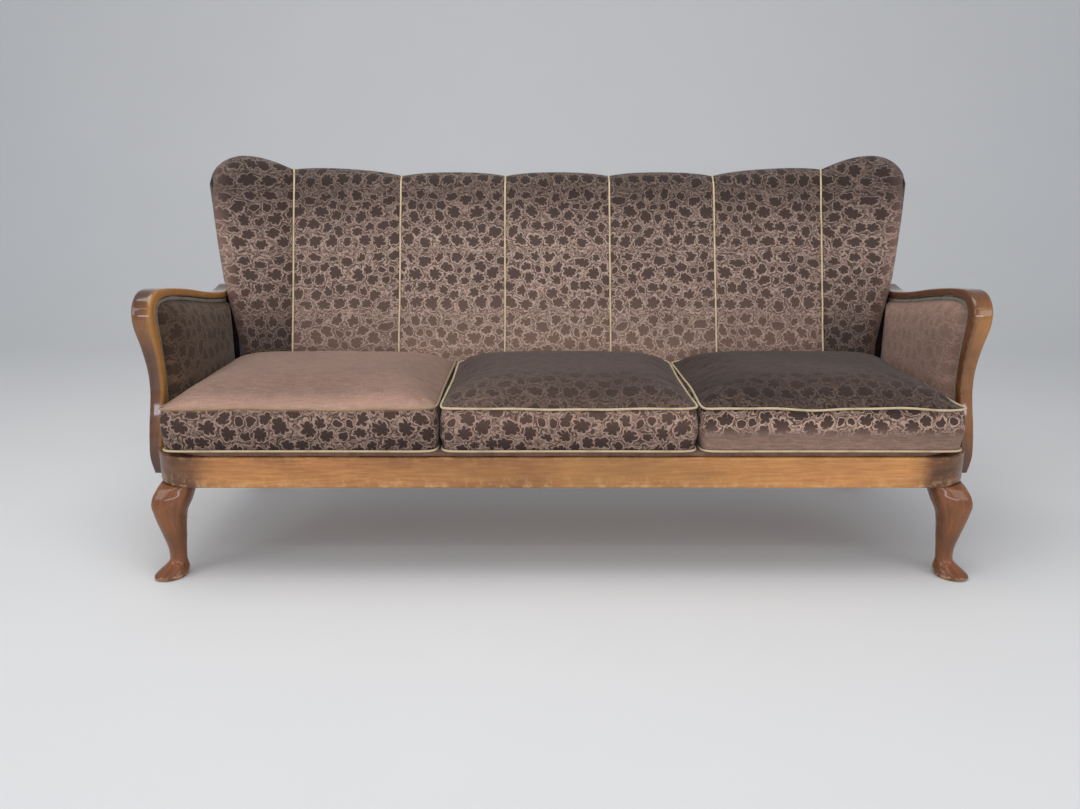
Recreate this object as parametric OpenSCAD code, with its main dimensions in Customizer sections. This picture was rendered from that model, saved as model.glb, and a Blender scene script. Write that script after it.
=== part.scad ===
// Three-seat cabriole sofa: a stained beech seat frame on cabriole front legs,
// bent show-wood arms, a channelled wing back and three loose box cushions.
// Millimetres, +Z up, +X to the sitter's left seen from the front, +Y to the back.
// The origin is on the floor, under the middle of the sofa.

/* [Seat frame] */
// Width over the outer faces of the side rails
seat_w = 1802; // [1650:1:1950]
// Depth from the front rail's face to the back rail's outer face
seat_d = 556; // [530:1:590]
// Height of the seat rails
rail_h = 70; // [55:1:85]
// Thickness of the front and side rails
rail_t = 28; // [22:1:32]
// Thickness of the back rail
back_rail_t = 36; // [32:1:44]
// Outer radius of the rounded front corners
corner_r = 100; // [80:1:115]
// Radius of the softened long edges of the rails
rail_edge_r = 5; // [2:0.5:8]
// Height from the floor to the underside of the rails
leg_h = 218; // [190:1:245]
// Width of the flat rail across the middle of the seat
cross_rail_w = 48; // [36:1:70]
// Height of the middle rail
cross_rail_h = 34; // [24:1:44]
// How far the middle rail shows under the front rail
cross_rail_drop = 4; // [2:0.5:8]
// Side of the square corner blocks
block_w = 68; // [50:1:72]
// Height of the corner blocks inside the rails
block_h = 48; // [36:1:52]
// How far a corner block shows under the rails
block_lip = 9; // [5:1:12]

/* [Legs] */
// Width across the top of a front leg
knee_w = 80; // [68:1:88]
// Thickness of a front leg's ankle
ankle_w = 37; // [30:1:44]
// Length of the pad foot
foot_l = 66; // [56:1:76]
// How far the ankle is set in from the corner of the rails
ankle_set = 36; // [28:1:42]
// Thickness of a back leg at the top
back_leg_w = 44; // [36:1:50]
// Thickness of a back leg at the floor
back_foot_w = 30; // [24:1:36]
// How far a back leg's foot stands behind its top
back_leg_rake = 42; // [30:1:60]
// Diameter of the leg bolts
leg_bolt_d = 8; // [6:1:10]
// Length of the leg bolts
leg_bolt_l = 62; // [48:1:70]

/* [Arms] */
// Length of an arm from its front curve to its end at the back
arm_l = 560; // [530:1:590]
// Height of an arm from its lower tip to its top
arm_rise = 412; // [380:1:440]
// Set-back of the arm's front curve from the front rail's face
arm_front = 94; // [84:1:104]
// Width of the bent wood, seen from the front
arm_w = 45; // [40:1:50]
// Thickness of the bent wood along the top
arm_t = 20; // [17:1:24]
// How far the arm's top stands out past the side rail
arm_out = 36; // [31:1:42]
// Thickness of the post that carries the back end of an arm
arm_post_t = 34; // [28:1:38]
// Width of the post that carries the back end of an arm
arm_post_w = 36; // [30:1:37]
// Thickness of the padded panel inside an arm
arm_pad_t = 54; // [48:1:56]
// Thickness of the panel on the outside of an arm
arm_panel_t = 12; // [8:1:14]
// Width of the gimp that borders the arm pads
gimp_w = 9; // [6:1:11]
// Thickness of the gimp
gimp_t = 2.6; // [1.5:0.1:3]
// Diameter of the arm bolts
arm_bolt_d = 8; // [6:1:9]

/* [Back] */
// How far a wing's outer edge lies inside the side rail's face at the seat
wing_set = 73; // [66:1:80]
// How far a wing's outer edge stands out past the side rail's face at the top
wing_over = 10; // [0:1:20]
// Width of a wing at the seat
wing_w_low = 118; // [106:1:126]
// Width of a wing at the top, measured across the sofa
wing_w_top = 186; // [170:1:196]
// How far a wing's outer edge comes forward at the top
wing_forward = 127; // [100:1:140]
// How far the outer seams come forward at the top
seam_forward = 30; // [15:1:40]
// How much a wing rises above its seam
wing_rise = 37; // [20:1:45]
// Height of the padded back above the seat rails
back_h = 578; // [540:1:610]
// How much the outer seams rise above the middle ones at the top
seam_rise = 18; // [5:1:26]
// Backward lean per unit of height
lean_share = 0.449; // [0.38:0.01:0.5]
// Thickness of the padding behind a seam
channel_t = 46; // [38:1:52]
// How far the middle of a channel stands out in front of its seams
channel_crown = 17; // [10:1:20]
// Height of the scallop of each channel at the top
channel_scallop = 11; // [5:1:15]
// Radius of the roll over the top edge
top_roll = 36; // [28:1:40]
// Thickness of the wooden frame in the back
back_frame_t = 25; // [20:1:30]
// Height of the back's top and lower rails
back_rail_h = 46; // [36:1:56]
// Width of the upright stiles in the back
stile_w = 38; // [30:1:48]
// Thickness of the outer cover
cover_t = 2.6; // [2:0.1:3.5]

/* [Seat and cushions] */
// Thickness of the padded seat deck
deck_t = 10.4; // [8:0.2:14]
// Set-back of the deck's front edge from the front rail's face
deck_set = 6; // [4:1:14]
// Width of the jute webbing
web_w = 60; // [45:1:68]
// Thickness of the jute webbing
web_t = 2; // [1.5:0.1:2.5]
// Distance from the middle of the sofa to the left joint between cushions
joint_left = 265; // [245:1:285]
// Distance from the middle of the sofa to the right joint between cushions
joint_right = 293; // [273:1:313]
// Height of a cushion's boxing between its pipings
boxing_h = 96; // [86:1:110]
// Height of a cushion's crown above its top piping
cushion_crown = 40; // [25:1:48]
// How far a cushion's top piping reaches behind the foot of the back
cushion_tuck = 6; // [-10:1:10]
// How far the cushions stand out past the front rail's face
cushion_out = 5; // [0:1:12]
// Diameter of the piping
piping_d = 5; // [3.5:0.1:6]

/* [Hidden] */

// Clearance between soft pieces and what they lie against
soft_gap = 0.3;
// Clearance between the curved boards of the back and the cover
board_gap = 0.9;
// Clearance round a bolt
bolt_gap = 0.3;
// Overrun of the cuts
cut = 1;
// Fineness of true round surfaces
$fn = 48;

half_w = seat_w / 2;
rail_top = leg_h + rail_h;
top_z = rail_top + back_h;
// Five channels fill the back between the wings
channel_w_low = (half_w - wing_set - wing_w_low) / 2.5;
channel_w_top = (half_w + wing_over - wing_w_top) / 2.5;
cushion_d = foot_y() + cushion_out + cushion_tuck;

// Geometry helpers

function blend(a, b, t) = a + (b - a) * t;
function unit(v) = v / norm(v);
function total(v, i = 0) = i < len(v) ? v[i] + total(v, i + 1) : 0 * v[0];

// Smooth curve through points: Catmull-Rom pieces, each in a number of steps
function curve_point(a, b, c, d, t) =
    0.5 * (2 * b + (c - a) * t + (2 * a - 5 * b + 4 * c - d) * t * t + (3 * b - a - 3 * c + d) * t * t * t);
function curve(p, steps) = [
    for (i = [0 : len(p) - 2], k = [0 : steps - 1])
        curve_point(p[max(i - 1, 0)], p[i], p[i + 1], p[min(i + 2, len(p) - 1)], k / steps),
    p[len(p) - 1]
];

// Closed solid through rings of equal length; each end is closed by a fan. On an upright
// sheet every square is cut from its low inner corner to its high outer one, so that
// sheets that lie on each other have the same facets, and its ends are closed by strips
// between the first half of a ring and the second
module skin(rings, ring_loop = false, upright = false) {
    n = len(rings[0]);
    m = len(rings);
    last = ring_loop ? m - 1 : m - 2;
    points = [for (ring = rings) for (p = ring) p];
    ends = [total(rings[0]) / n, total(rings[m - 1]) / n];
    sides = [
        for (i = [0 : last], j = [0 : n - 1])
            let (
                k = (j + 1) % n,
                next = (i + 1) % m,
                a = i * n + j,
                b = i * n + k,
                c = next * n + k,
                d = next * n + j,
                rises = rings[i][j][2] <= rings[i][k][2],
                leaves = abs(rings[i][j][0]) <= abs(rings[next][j][0])
            )
            each !upright || rises == leaves ? [[a, b, c], [a, c, d]] : [[a, b, d], [b, c, d]]
    ];
    fans = [
        for (j = [0 : n - 1])
            each [[n * m, (j + 1) % n, j], [n * m + 1, (m - 1) * n + j, (m - 1) * n + (j + 1) % n]]
    ];
    far = (m - 1) * n;
    strips = [
        for (j = [0 : n / 2 - 2])
            let (q = [j, j + 1, n - 2 - j, n - 1 - j])
            each [
                [q[2], q[1], q[0]], [q[3], q[2], q[0]],
                [far + q[0], far + q[1], far + q[2]], [far + q[0], far + q[2], far + q[3]]
            ]
    ];
    polyhedron(
        points = ring_loop || upright ? points : concat(points, ends),
        faces = ring_loop ? sides : concat(sides, upright ? strips : fans),
        convexity = 8
    );
}

// Round cord along a path; the two directions of its section follow the path
module cord(path, r, up, closed = false) {
    sides = 5;
    n = len(path);
    rings = [
        for (i = [0 : n - 1])
            let (
                before = path[closed ? (i + n - 1) % n : max(i - 1, 0)],
                after = path[closed ? (i + 1) % n : min(i + 1, n - 1)],
                t = unit(after - before),
                u = unit(up - (up * t) * t),
                v = cross(t, u)
            )
            [for (k = [0 : sides - 1]) path[i] + r * (cos(k * 360 / sides) * u + sin(k * 360 / sides) * v)]
    ];
    skin(rings, ring_loop = closed);
}

// Everything is drawn from the front rail's face and moved to the origin here
module placed() {
    translate([0, -origin_y, 0]) children();
}

// The right half is drawn, the left half is its mirror image
module on_side(side) {
    placed() mirror([side < 0 ? 1 : 0, 0, 0]) children();
}

// Seat frame

arc_steps = 4;
function arc_points(cx, cy, r, from, to) = [
    for (k = [0 : arc_steps])
        let (a = blend(from, to, k / arc_steps))
        [cx + r * cos(a), cy + r * sin(a)]
];

// Section of a rail: x grows outwards from the inner face, y is the height
module rail_section(t) {
    polygon(concat(
        [[0, 0]],
        arc_points(t - rail_edge_r, rail_edge_r, rail_edge_r, -90, 0),
        arc_points(t - rail_edge_r / 2, rail_h - rail_edge_r / 2, rail_edge_r / 2, 0, 90),
        [[0, rail_h]]
    ));
}

module rail_corner() {
    translate([half_w - corner_r, corner_r, leg_h])
        rotate([0, 0, -90])
            rotate_extrude(angle = 90, $fn = 96)
                translate([corner_r - rail_t, 0])
                    rail_section(rail_t);
}

module front_rail() {
    color("peru") placed() {
        translate([half_w - corner_r, rail_t, leg_h])
            rotate([90, 0, -90])
                linear_extrude(seat_w - 2 * corner_r)
                    rail_section(rail_t);
        rail_corner();
        mirror([1, 0, 0]) rail_corner();
    }
}

arm_post_foot = seat_d + arm_post_t - 5 * soft_gap;
side_rail_end = arm_post_foot + arm_post_t;

module side_rail(side) {
    color("peru") on_side(side)
        difference() {
            translate([half_w - rail_t, side_rail_end, leg_h])
                rotate([90, 0, 0])
                    linear_extrude(side_rail_end - corner_r)
                        rail_section(rail_t);
            arm_bolt_holes(half_w - rail_t - cut, rail_t + 2 * cut);
        }
}

module back_rail() {
    color("peru") placed()
        translate([-(half_w - rail_t), seat_d - back_rail_t, leg_h])
            cube([2 * (half_w - rail_t), back_rail_t, rail_h]);
}

module cross_rail() {
    color("burlywood") placed()
        translate([-cross_rail_w / 2, rail_t, leg_h - cross_rail_drop])
            cube([cross_rail_w, seat_d - back_rail_t - rail_t, cross_rail_h + cross_rail_drop]);
}

// Set-in of a front leg's bolt from the outer faces of both rails
front_bolt_set = (corner_r + rail_t) / 2 - knee_w / 8;
block_x = half_w - rail_t - soft_gap;
front_block_y = rail_t + soft_gap;
back_block_y = seat_d + soft_gap;

module front_block() {
    intersection() {
        union() {
            translate([block_x - block_w, front_block_y, leg_h])
                cube([block_w, block_w, block_h]);
            translate([block_x - block_w, front_block_y, leg_h - block_lip])
                cube([leg_inner_x - block_x + block_w, block_w, block_lip]);
        }
        union() {
            translate([half_w - corner_r, corner_r, leg_h - block_h])
                cylinder(r = corner_r - rail_t - soft_gap, h = 2 * block_h + cut);
            translate([block_x - 2 * block_w, 0, leg_h - block_h])
                cube([half_w - corner_r - block_x + 2 * block_w, 2 * corner_r, 2 * block_h + cut]);
        }
    }
}

module corner_blocks() {
    color("burlywood")
        for (side = [-1, 1])
            on_side(side)
                difference() {
                    union() {
                        front_block();
                        translate([block_x - block_w, back_block_y, leg_h])
                            cube([block_w, block_w, block_h]);
                    }
                    leg_bolt_places() bolt_hole(leg_bolt_d, leg_bolt_l);
                }
}

// Legs

// Heights, set-in, half width and roundness of the front leg's sections, floor to rail
leg_z_shares = [0, 0.012, 0.04, 0.085, 0.13, 0.17, 0.22, 0.31, 0.41, 0.51, 0.6, 0.69, 0.79, 0.87, 0.94, 1];
leg_set_shares = [
    0.72, 0.68, 0.71, 0.85, 0.95, 1, 1.02, 1.02, 0.99, 0.95, 0.92, 0.93, 1.02, 1.13, 1.25, 1.3,
];
leg_foot_shares = [0.8, 0.9, 0.94, 0.84, 0.66, 0.56];
leg_ankle_shares = [1, 1.07, 1.27, 1.45];
leg_knee_shares = [0.75, 0.81, 0.95, 1, 1.01, 1];
leg_stretch_shares = [1.16, 1.18, 1.2, 1.15, 1.09, 1.03, 1, 1, 1, 1, 1, 1.03, 1.05, 1.03, 1, 1];
leg_round_shares = [2, 2, 2, 2, 2, 2, 2, 2, 1.9, 1.75, 1.6, 1.5, 1.42, 1.38, 1.35, 1.35];
leg_inner_x = half_w - leg_set_shares[len(leg_set_shares) - 1] * ankle_set - knee_w / 2 - soft_gap;

function leg_half_w(i) =
    let (foot_n = len(leg_foot_shares), knee_n = foot_n + len(leg_ankle_shares))
    i < foot_n ? leg_foot_shares[i] * foot_l / 2 :
    i < knee_n ? leg_ankle_shares[i - foot_n] * ankle_w / 2 :
    leg_knee_shares[i - knee_n] * knee_w / 2;

// One level of the front leg: a superellipse whose long axis points out over the corner
leg_sides = 20;
function leg_ring(i) =
    let (
        z = leg_z_shares[i] * leg_h,
        set = leg_set_shares[i] * ankle_set,
        p = leg_round_shares[i],
        r = leg_half_w(i) * pow(2, 1 / p) / sqrt(2),
        long = r * leg_stretch_shares[i],
        lean = (leg_stretch_shares[i] - 1) * r / 2
    )
    [
        for (k = [0 : leg_sides - 1])
            let (
                a = k * 360 / leg_sides,
                q = pow(pow(abs(cos(a)), p) + pow(abs(sin(a)), p), -1 / p),
                u = long * q * cos(a) + lean,
                v = r * q * sin(a)
            )
            [half_w - set + (u + v) / sqrt(2), set + (v - u) / sqrt(2), z]
    ];

module front_leg(side) {
    color("sienna") on_side(side)
        difference() {
            skin([for (i = [0 : len(leg_z_shares) - 1]) leg_ring(i)]);
            front_leg_bolt_place() bolt_hole(leg_bolt_d, leg_bolt_l);
        }
}

back_leg_x = half_w - rail_t - block_w / 2 - soft_gap;
back_leg_y = back_block_y + block_w / 2;
back_leg_steps = 6;

// Side of a back leg: it sweeps back to the floor along a quarter wave
module back_leg(side) {
    back = [
        for (k = [0 : back_leg_steps])
            let (s = k / back_leg_steps)
            [back_leg_rake * pow(1 - s, 1.6) + blend(back_foot_w, back_leg_w, s) / 2, leg_h * s]
    ];
    front = [
        for (k = [back_leg_steps : -1 : 0])
            let (s = k / back_leg_steps)
            [back_leg_rake * pow(1 - s, 1.6) - blend(back_foot_w, back_leg_w, s) / 2, leg_h * s]
    ];
    color("sienna") on_side(side)
        difference() {
            translate([back_leg_x - back_leg_w / 2, back_leg_y, 0])
                rotate([90, 0, 90])
                    linear_extrude(back_leg_w)
                        polygon(concat(back, front));
            back_leg_bolt_place() bolt_hole(leg_bolt_d, leg_bolt_l);
        }
}

// Bolts

module front_leg_bolt_place() {
    translate([half_w - front_bolt_set, front_bolt_set, leg_h - leg_bolt_l / 2]) children();
}
module back_leg_bolt_place() {
    translate([back_leg_x, back_leg_y, leg_h - leg_bolt_l / 2]) children();
}
module leg_bolt_places() {
    front_leg_bolt_place() children();
    back_leg_bolt_place() children();
}
module bolt_hole(d, l) {
    translate([0, 0, -bolt_gap]) cylinder(d = d + 2 * bolt_gap, h = l + 2 * bolt_gap);
}

module leg_bolts() {
    color("silver")
        for (side = [-1, 1])
            on_side(side) leg_bolt_places() cylinder(d = leg_bolt_d, h = leg_bolt_l);
}

// Two bolts on each side go out through the side rail into the arm's tip
arm_bolt_z = [leg_h + rail_h / 3, leg_h + rail_h * 3 / 4];
arm_bolt_y = arm_front + arm_l / 28;
arm_bolt_reach = arm_out * 2 / 3;

module arm_bolt_holes(from, length) {
    for (z = arm_bolt_z)
        translate([from, arm_bolt_y, z])
            rotate([0, 90, 0])
                cylinder(d = arm_bolt_d + 2 * bolt_gap, h = length);
}

module arm_bolts() {
    color("silver")
        for (side = [-1, 1])
            on_side(side)
                for (z = arm_bolt_z)
                    translate([half_w - rail_t - arm_bolt_d / 2, arm_bolt_y, z])
                        rotate([0, 90, 0]) {
                            cylinder(d = 2 * arm_bolt_d, h = arm_bolt_d / 2);
                            cylinder(d = arm_bolt_d, h = rail_t + arm_bolt_reach);
                        }
}

// Arms

// Centre line of the bent wood from its back end over the top and down to its tip:
// share of the length from the front, share of the rise from the tip
arm_path_shares = [
    [0.975, 0.862], [0.86, 0.838], [0.72, 0.856], [0.582, 0.886], [0.43, 0.926], [0.296, 0.956],
    [0.18, 0.974], [0.09, 0.967], [0.042, 0.91], [0.035, 0.83], [0.052, 0.71], [0.066, 0.57],
    [0.064, 0.44], [0.046, 0.29], [0.036, 0.18], [0.034, 0.09], [0.036, 0],
];
// Thickness, inner edge and outer edge along the same stations
arm_t_shares = [1, 0.95, 0.93, 0.93, 0.95, 0.95, 1, 1.4, 1.85, 1.85, 1.5, 1.3, 1.25, 1.35, 1.4, 1.2, 0.55];
arm_in_shares = [-1, -1, -1, -1, -1, -1, -1, -1, -1, -1, -1.05, -1.1, -0.95, -0.45, 0, 0, 0];
arm_out_shares = [1, 1, 1, 1, 1, 1, 1, 1, 1, 0.97, 0.8, 0.66, 0.66, 0.78, 0.86, 0.92, 0.8];

arm_tip_z = leg_h - rail_edge_r / 2;
arm_stations = [
    for (i = [0 : len(arm_path_shares) - 1])
        [
            arm_front + arm_path_shares[i][0] * arm_l,
            arm_tip_z + arm_path_shares[i][1] * arm_rise,
            arm_t_shares[i] * arm_t,
            arm_in_shares[i] * (arm_w - arm_out) + soft_gap,
            arm_out_shares[i] * arm_out
        ]
];
arm_curve = curve(arm_stations, 2);

// Direction across the bent wood, pointing out of the loop
function arm_normal(i) =
    let (
        n = len(arm_curve),
        a = arm_curve[max(i - 1, 0)],
        b = arm_curve[min(i + 1, n - 1)],
        d = unit([b[0] - a[0], b[1] - a[1]])
    )
    [d[1], -d[0]];

// Section of the bent wood: a rectangle with rounded corners, in two half widths and a softness
arm_section_shares = [
    [1, 0.45], [0.93, 0.8], [0.72, 1], [-0.72, 1], [-0.93, 0.8], [-1, 0.45],
    [-1, -0.45], [-0.93, -0.8], [-0.72, -1], [0.72, -1], [0.93, -0.8], [1, -0.45]
];

function arm_ring(i) =
    let (
        s = arm_curve[i],
        n = arm_normal(i),
        middle = half_w + (s[3] + s[4]) / 2,
        wide = (s[4] - s[3]) / 2
    )
    [
        for (c = arm_section_shares)
            [middle + c[0] * wide, s[0] - n[0] * c[1] * s[2] / 2, s[1] - n[1] * c[1] * s[2] / 2]
    ];

module arm(side) {
    color("sienna") on_side(side)
        difference() {
            skin([for (i = [0 : len(arm_curve) - 1]) arm_ring(i)]);
            arm_bolt_holes(half_w, arm_bolt_reach + bolt_gap);
        }
}

// Inner edge of the loop, a clearance away from the wood
function arm_inner_point(i, away) =
    let (s = arm_curve[i], n = arm_normal(i))
    [s[0] - n[0] * (s[2] / 2 + away), s[1] - n[1] * (s[2] / 2 + away)];

arm_post_x = half_w + arm_panel_x() - soft_gap - arm_post_w;
arm_post_lean = arm_post_t / 2;
arm_end_z = arm_curve[0][1] - arm_t / 2;

function arm_panel_x() = arm_out - arm_panel_t - 2 * arm_t / 4;

module arm_post(side) {
    color("burlywood") on_side(side)
        translate([arm_post_x, 0, 0])
            rotate([90, 0, 90])
                linear_extrude(arm_post_w)
                    polygon([
                        [arm_post_foot, rail_top],
                        [arm_post_foot + arm_post_t, rail_top],
                        [arm_post_foot + arm_post_t + arm_post_lean, arm_post_top(1)],
                        [arm_post_foot + arm_post_lean, arm_post_top(0)]
                    ]);
}

// The post's top follows the underside of the arm's end
function arm_post_top(k) = min(arm_inner_point(0, soft_gap)[1], arm_inner_point(3, soft_gap)[1]) - soft_gap;

// Outline of a panel inside the loop: along the wood, then along the rail and up the back
function loop_outline(back_low, back_top, away) =
    let (
        edge = [for (i = [0 : len(arm_curve) - 1]) arm_inner_point(i, away)],
        wood = [for (p = edge) if (p[0] < back_top - away && p[1] > rail_top + 4 * away) p],
        behind = [for (p = edge) if (p[0] >= back_top - away) p[1]]
    )
    concat(
        [[back_top, len(behind) > 0 ? min(behind[len(behind) - 1], wood[0][1]) : wood[0][1]]],
        wood,
        [[wood[len(wood) - 1][0], rail_top + away], [back_low, rail_top + away]]
    );

module arm_panel(side) {
    color("saddlebrown") on_side(side)
        translate([half_w + arm_panel_x(), 0, 0])
            rotate([90, 0, 90])
                linear_extrude(arm_panel_t)
                    polygon(loop_outline(side_rail_end, side_rail_end + arm_post_lean, soft_gap));
}

// The arm pad: flat border for the gimp, then a swelling towards the sitter. Behind the
// wing's front edge the pad lies back against the wing's outer side
pad_back = arm_post_foot - soft_gap;
pad_swell_shares = [0, 0.3, 0.3, 0.62, 0.86, 1];
pad_inset_shares = [0, 0, 0.09, 0.13, 0.26, 0.6];
pad_back_steps = 6;
function wing_side_x(y, z) =
    let (normal = panel_normal(6, z), behind = max(0, y - seam_y(7, z) + channel_crown / 2))
    seam_x(7, z) + behind * normal[0] / normal[1] + board_gap;

module arm_pad(side) {
    edge = loop_outline(pad_back, pad_back, soft_gap);
    outline = concat(
        edge,
        [for (k = [1 : pad_back_steps - 1]) blend(edge[len(edge) - 1], edge[0], k / pad_back_steps)]
    );
    middle = [(arm_front + pad_back) / 2, (rail_top + arm_end_z) / 2];
    outer = half_w + arm_panel_x() - soft_gap;
    color("saddlebrown") on_side(side)
        skin([
            for (k = [0 : len(pad_swell_shares) - 1])
                [
                    for (p = outline)
                        let (
                            q = blend(p, middle, pad_inset_shares[k]),
                            face = outer - pad_swell_shares[k] * arm_pad_t,
                            reach = q[0] > seam_y(7, q[1]) - channel_crown ? wing_side_x(q[0], q[1]) : 0
                        )
                        [min(outer, max(face, reach)), q[0], q[1]]
                ]
        ]);
}

// Gimp: a flat braid on the pad's border, along the top and down the front
module arm_gimp(side) {
    face = half_w + arm_panel_x() - soft_gap - pad_swell_shares[1] * arm_pad_t - soft_gap;
    last = len(arm_curve) - 1;
    run = [
        for (i = [0 : last])
            if (arm_curve[i][0] < pad_back - gimp_w && arm_curve[i][1] > rail_top + gimp_w) i
    ];
    color("darkkhaki") on_side(side)
        skin([
            for (i = run)
                let (a = arm_inner_point(i, 2 * soft_gap), b = arm_inner_point(i, 2 * soft_gap + gimp_w))
                [
                    [face, a[0], a[1]], [face, b[0], b[1]],
                    [face - gimp_t, b[0], b[1]], [face - gimp_t, a[0], a[1]]
                ]
        ]);
}

// Back: seams are numbered 0 to 7, 0 and 7 being the outer edges of the wings

function foot_y() = seat_d - back_rail_t - channel_t + 2 * cover_t - soft_gap;

wing_bend_share = 0.465;
function seam_share(z) = (z - rail_top) / back_h;
function seam_x(i, z) =
    let (
        t = seam_share(z),
        w = blend(channel_w_low, channel_w_top, t),
        wing = blend(wing_w_low, wing_w_top, t)
    )
    i == 0 ? -2.5 * w - wing : i == 7 ? 2.5 * w + wing : (i - 3.5) * w;
function seam_y(i, z) =
    let (t = seam_share(z), edge = i == 0 || i == 7, outer = i == 1 || i == 6)
    foot_y() + lean_share * (z - rail_top)
        - (edge ? wing_forward * (t + wing_bend_share * t * (1 - t)) : outer ? seam_forward * t : 0);
function seam_plan(i, z) = [seam_x(i, z), seam_y(i, z)];
function panel_normal(k, z) =
    let (d = unit(seam_plan(k + 1, z) - seam_plan(k, z)))
    [-d[1], d[0]];
function seam_normal(i, z) = unit(panel_normal(max(i - 1, 0), z) + panel_normal(min(i, 6), z));
// Point of panel k at share s of its width, depth n behind its face, height z
function back_point(k, s, n, z) =
    let (
        p = blend(seam_plan(k, z), seam_plan(k + 1, z), s),
        d = unit(blend(seam_normal(k, z), seam_normal(k + 1, z), s))
    )
    [p[0] + n * d[0], p[1] + n * d[1], z];

// Height of the seams at the top, and of a wing's outline above its seam
function seam_top(i) = top_z + (i < 2 || i > 5 ? seam_rise : 0);
wing_peak_share = 0.6;
function wing_out(k, s) = k == 0 ? 1 - s : s;
function wing_round(w) = 1 - sqrt(1 - pow(max(0, (w - wing_peak_share) / (1 - wing_peak_share)), 2));
function wing_top_share(w) = sin(90 * min(w / wing_peak_share, 1)) - 2 * wing_round(w);
function is_wing(k) = k == 0 || k == 6;
function panel_top(k, s) =
    is_wing(k) ? seam_top(0) + wing_rise * wing_top_share(wing_out(k, s)) :
    blend(seam_top(k), seam_top(k + 1), s) + channel_scallop * sin(180 * s);
function frame_top(k, s) =
    is_wing(k) ? panel_top(k, s) - top_roll : blend(seam_top(k), seam_top(k + 1), s) - top_roll;

channel_foot = rail_top + web_t + soft_gap;
web_depth = channel_t + board_gap;
frame_depth = web_depth + web_t + soft_gap;
wrap_depth = frame_depth + back_frame_t + board_gap;
cover_depth = wrap_depth + board_gap;
front_steps = 7;
roll_steps = 3;

// Upright section of a channel: face, roll over the top, back, and a step round the frame
function channel_profile(crown, top, step_z, in_depth, out_depth, near) = concat(
    [for (k = [0 : front_steps]) [near - crown, blend(channel_foot, top - top_roll, k / front_steps)]],
    [
        for (k = [1 : roll_steps])
            let (a = 90 * k / roll_steps)
            [top_roll + near - (top_roll + crown) * cos(a), top - top_roll + top_roll * sin(a)]
    ],
    [
        [out_depth - top_roll / 4, top - top_roll / 18],
        [out_depth, top - top_roll / 3],
        [out_depth, step_z]
    ],
    [for (k = [front_steps : -1 : 0]) [in_depth, blend(channel_foot, step_z, k / front_steps)]]
);

channel_cut = 6;
function channel_stations(k) = [
    for (j = [0 : channel_cut])
        let (s = blend(soft_gap / channel_w_low, 1 - soft_gap / channel_w_low, j / channel_cut))
        [s, channel_crown * sin(180 * j / channel_cut), frame_top(k, s) + board_gap, channel_t, 0, wrap_depth]
];

// A wing's last stations close round the outer edge of its frame
wing_frame_share = 0.92;
wing_station_shares = [0, 0.15, 0.3, 0.45, 0.6, 0.75, 0.85, 0.93, 0.94, 0.98, 1];
wing_crown_shares = [0, 0.5, 0.85, 1, 1, 0.92, 0.78, 0.5, 0.45, 0.2, 0];
function wing_stations(k) = [
    for (j = [0 : len(wing_station_shares) - 1])
        let (
            i = k == 6 ? j : len(wing_station_shares) - 1 - j,
            w = wing_station_shares[i],
            inner = max(w, soft_gap / wing_w_low),
            s = k == 6 ? inner : 1 - inner,
            edge = i > 7,
            tip = w == 1
        )
        [
            s, channel_crown * wing_crown_shares[i], frame_top(k, s) + board_gap,
            edge ? wrap_depth - (tip ? channel_t / 2 : 0) : channel_t,
            tip ? channel_t / 2 : 0, wrap_depth - (tip ? channel_t / 2 : 0)
        ]
];

module panel_skin(k, stations) {
    skin([
        for (i = [len(stations) - 1 : -1 : 0])
            let (t = stations[i])
            [
                for (p = channel_profile(t[1], panel_top(k, t[0]), t[2], t[3], t[5], t[4]))
                    back_point(k, t[0], p[0], p[1])
            ]
    ], upright = true);
}

module back_channel(k) {
    color("saddlebrown") placed() panel_skin(k, channel_stations(k));
}

module wing(side) {
    k = side < 0 ? 0 : 6;
    color("saddlebrown") placed() panel_skin(k, wing_stations(k));
}

// A flat board in the back between two heights, across stations of [panel, share]
module back_board(stations, n0, n1, low, high) {
    rings = [
        for (i = [len(stations) - 1 : -1 : 0])
            let (
                k = stations[i][0],
                s = stations[i][1],
                z0 = low(k, s),
                z1 = high(k, s)
            )
            [
                for (j = [0 : front_steps]) back_point(k, s, n0, blend(z0, z1, j / front_steps)),
                for (j = [front_steps : -1 : 0]) back_point(k, s, n1, blend(z0, z1, j / front_steps))
            ]
    ];
    placed() skin(rings, upright = true);
}

lower_rail_z = rail_top + 2 * back_rail_h;
middle_stations = [for (k = [1 : 5]) [k, 0], [5, 1]];
post_share = 0.3;
wing_board_shares = [0.45, 0.6, 0.75, 0.85];
function outward(k, w) = [k, k == 6 ? w : 1 - w];
function ordered(k, stations) = k == 6 ? stations : [for (i = [len(stations) - 1 : -1 : 0]) stations[i]];

module back_top_rail() {
    color("burlywood")
        back_board(
            middle_stations, frame_depth, frame_depth + back_frame_t,
            function (k, s) frame_top(k, s) - back_rail_h,
            function (k, s) frame_top(k, s)
        );
}

module back_lower_rail() {
    color("burlywood")
        back_board(
            middle_stations, frame_depth, frame_depth + back_frame_t,
            function (k, s) lower_rail_z,
            function (k, s) lower_rail_z + back_rail_h
        );
}

module back_stiles() {
    half = stile_w / channel_w_low / 2;
    color("burlywood")
        for (k = [1 : 4])
            back_board(
                [[k, 1 - half], [k + 1, 0], [k + 1, half]], frame_depth, frame_depth + back_frame_t,
                function (k, s) lower_rail_z + back_rail_h,
                function (k, s) min(frame_top(k, 0), frame_top(k, 1)) - back_rail_h
            );
}

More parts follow.
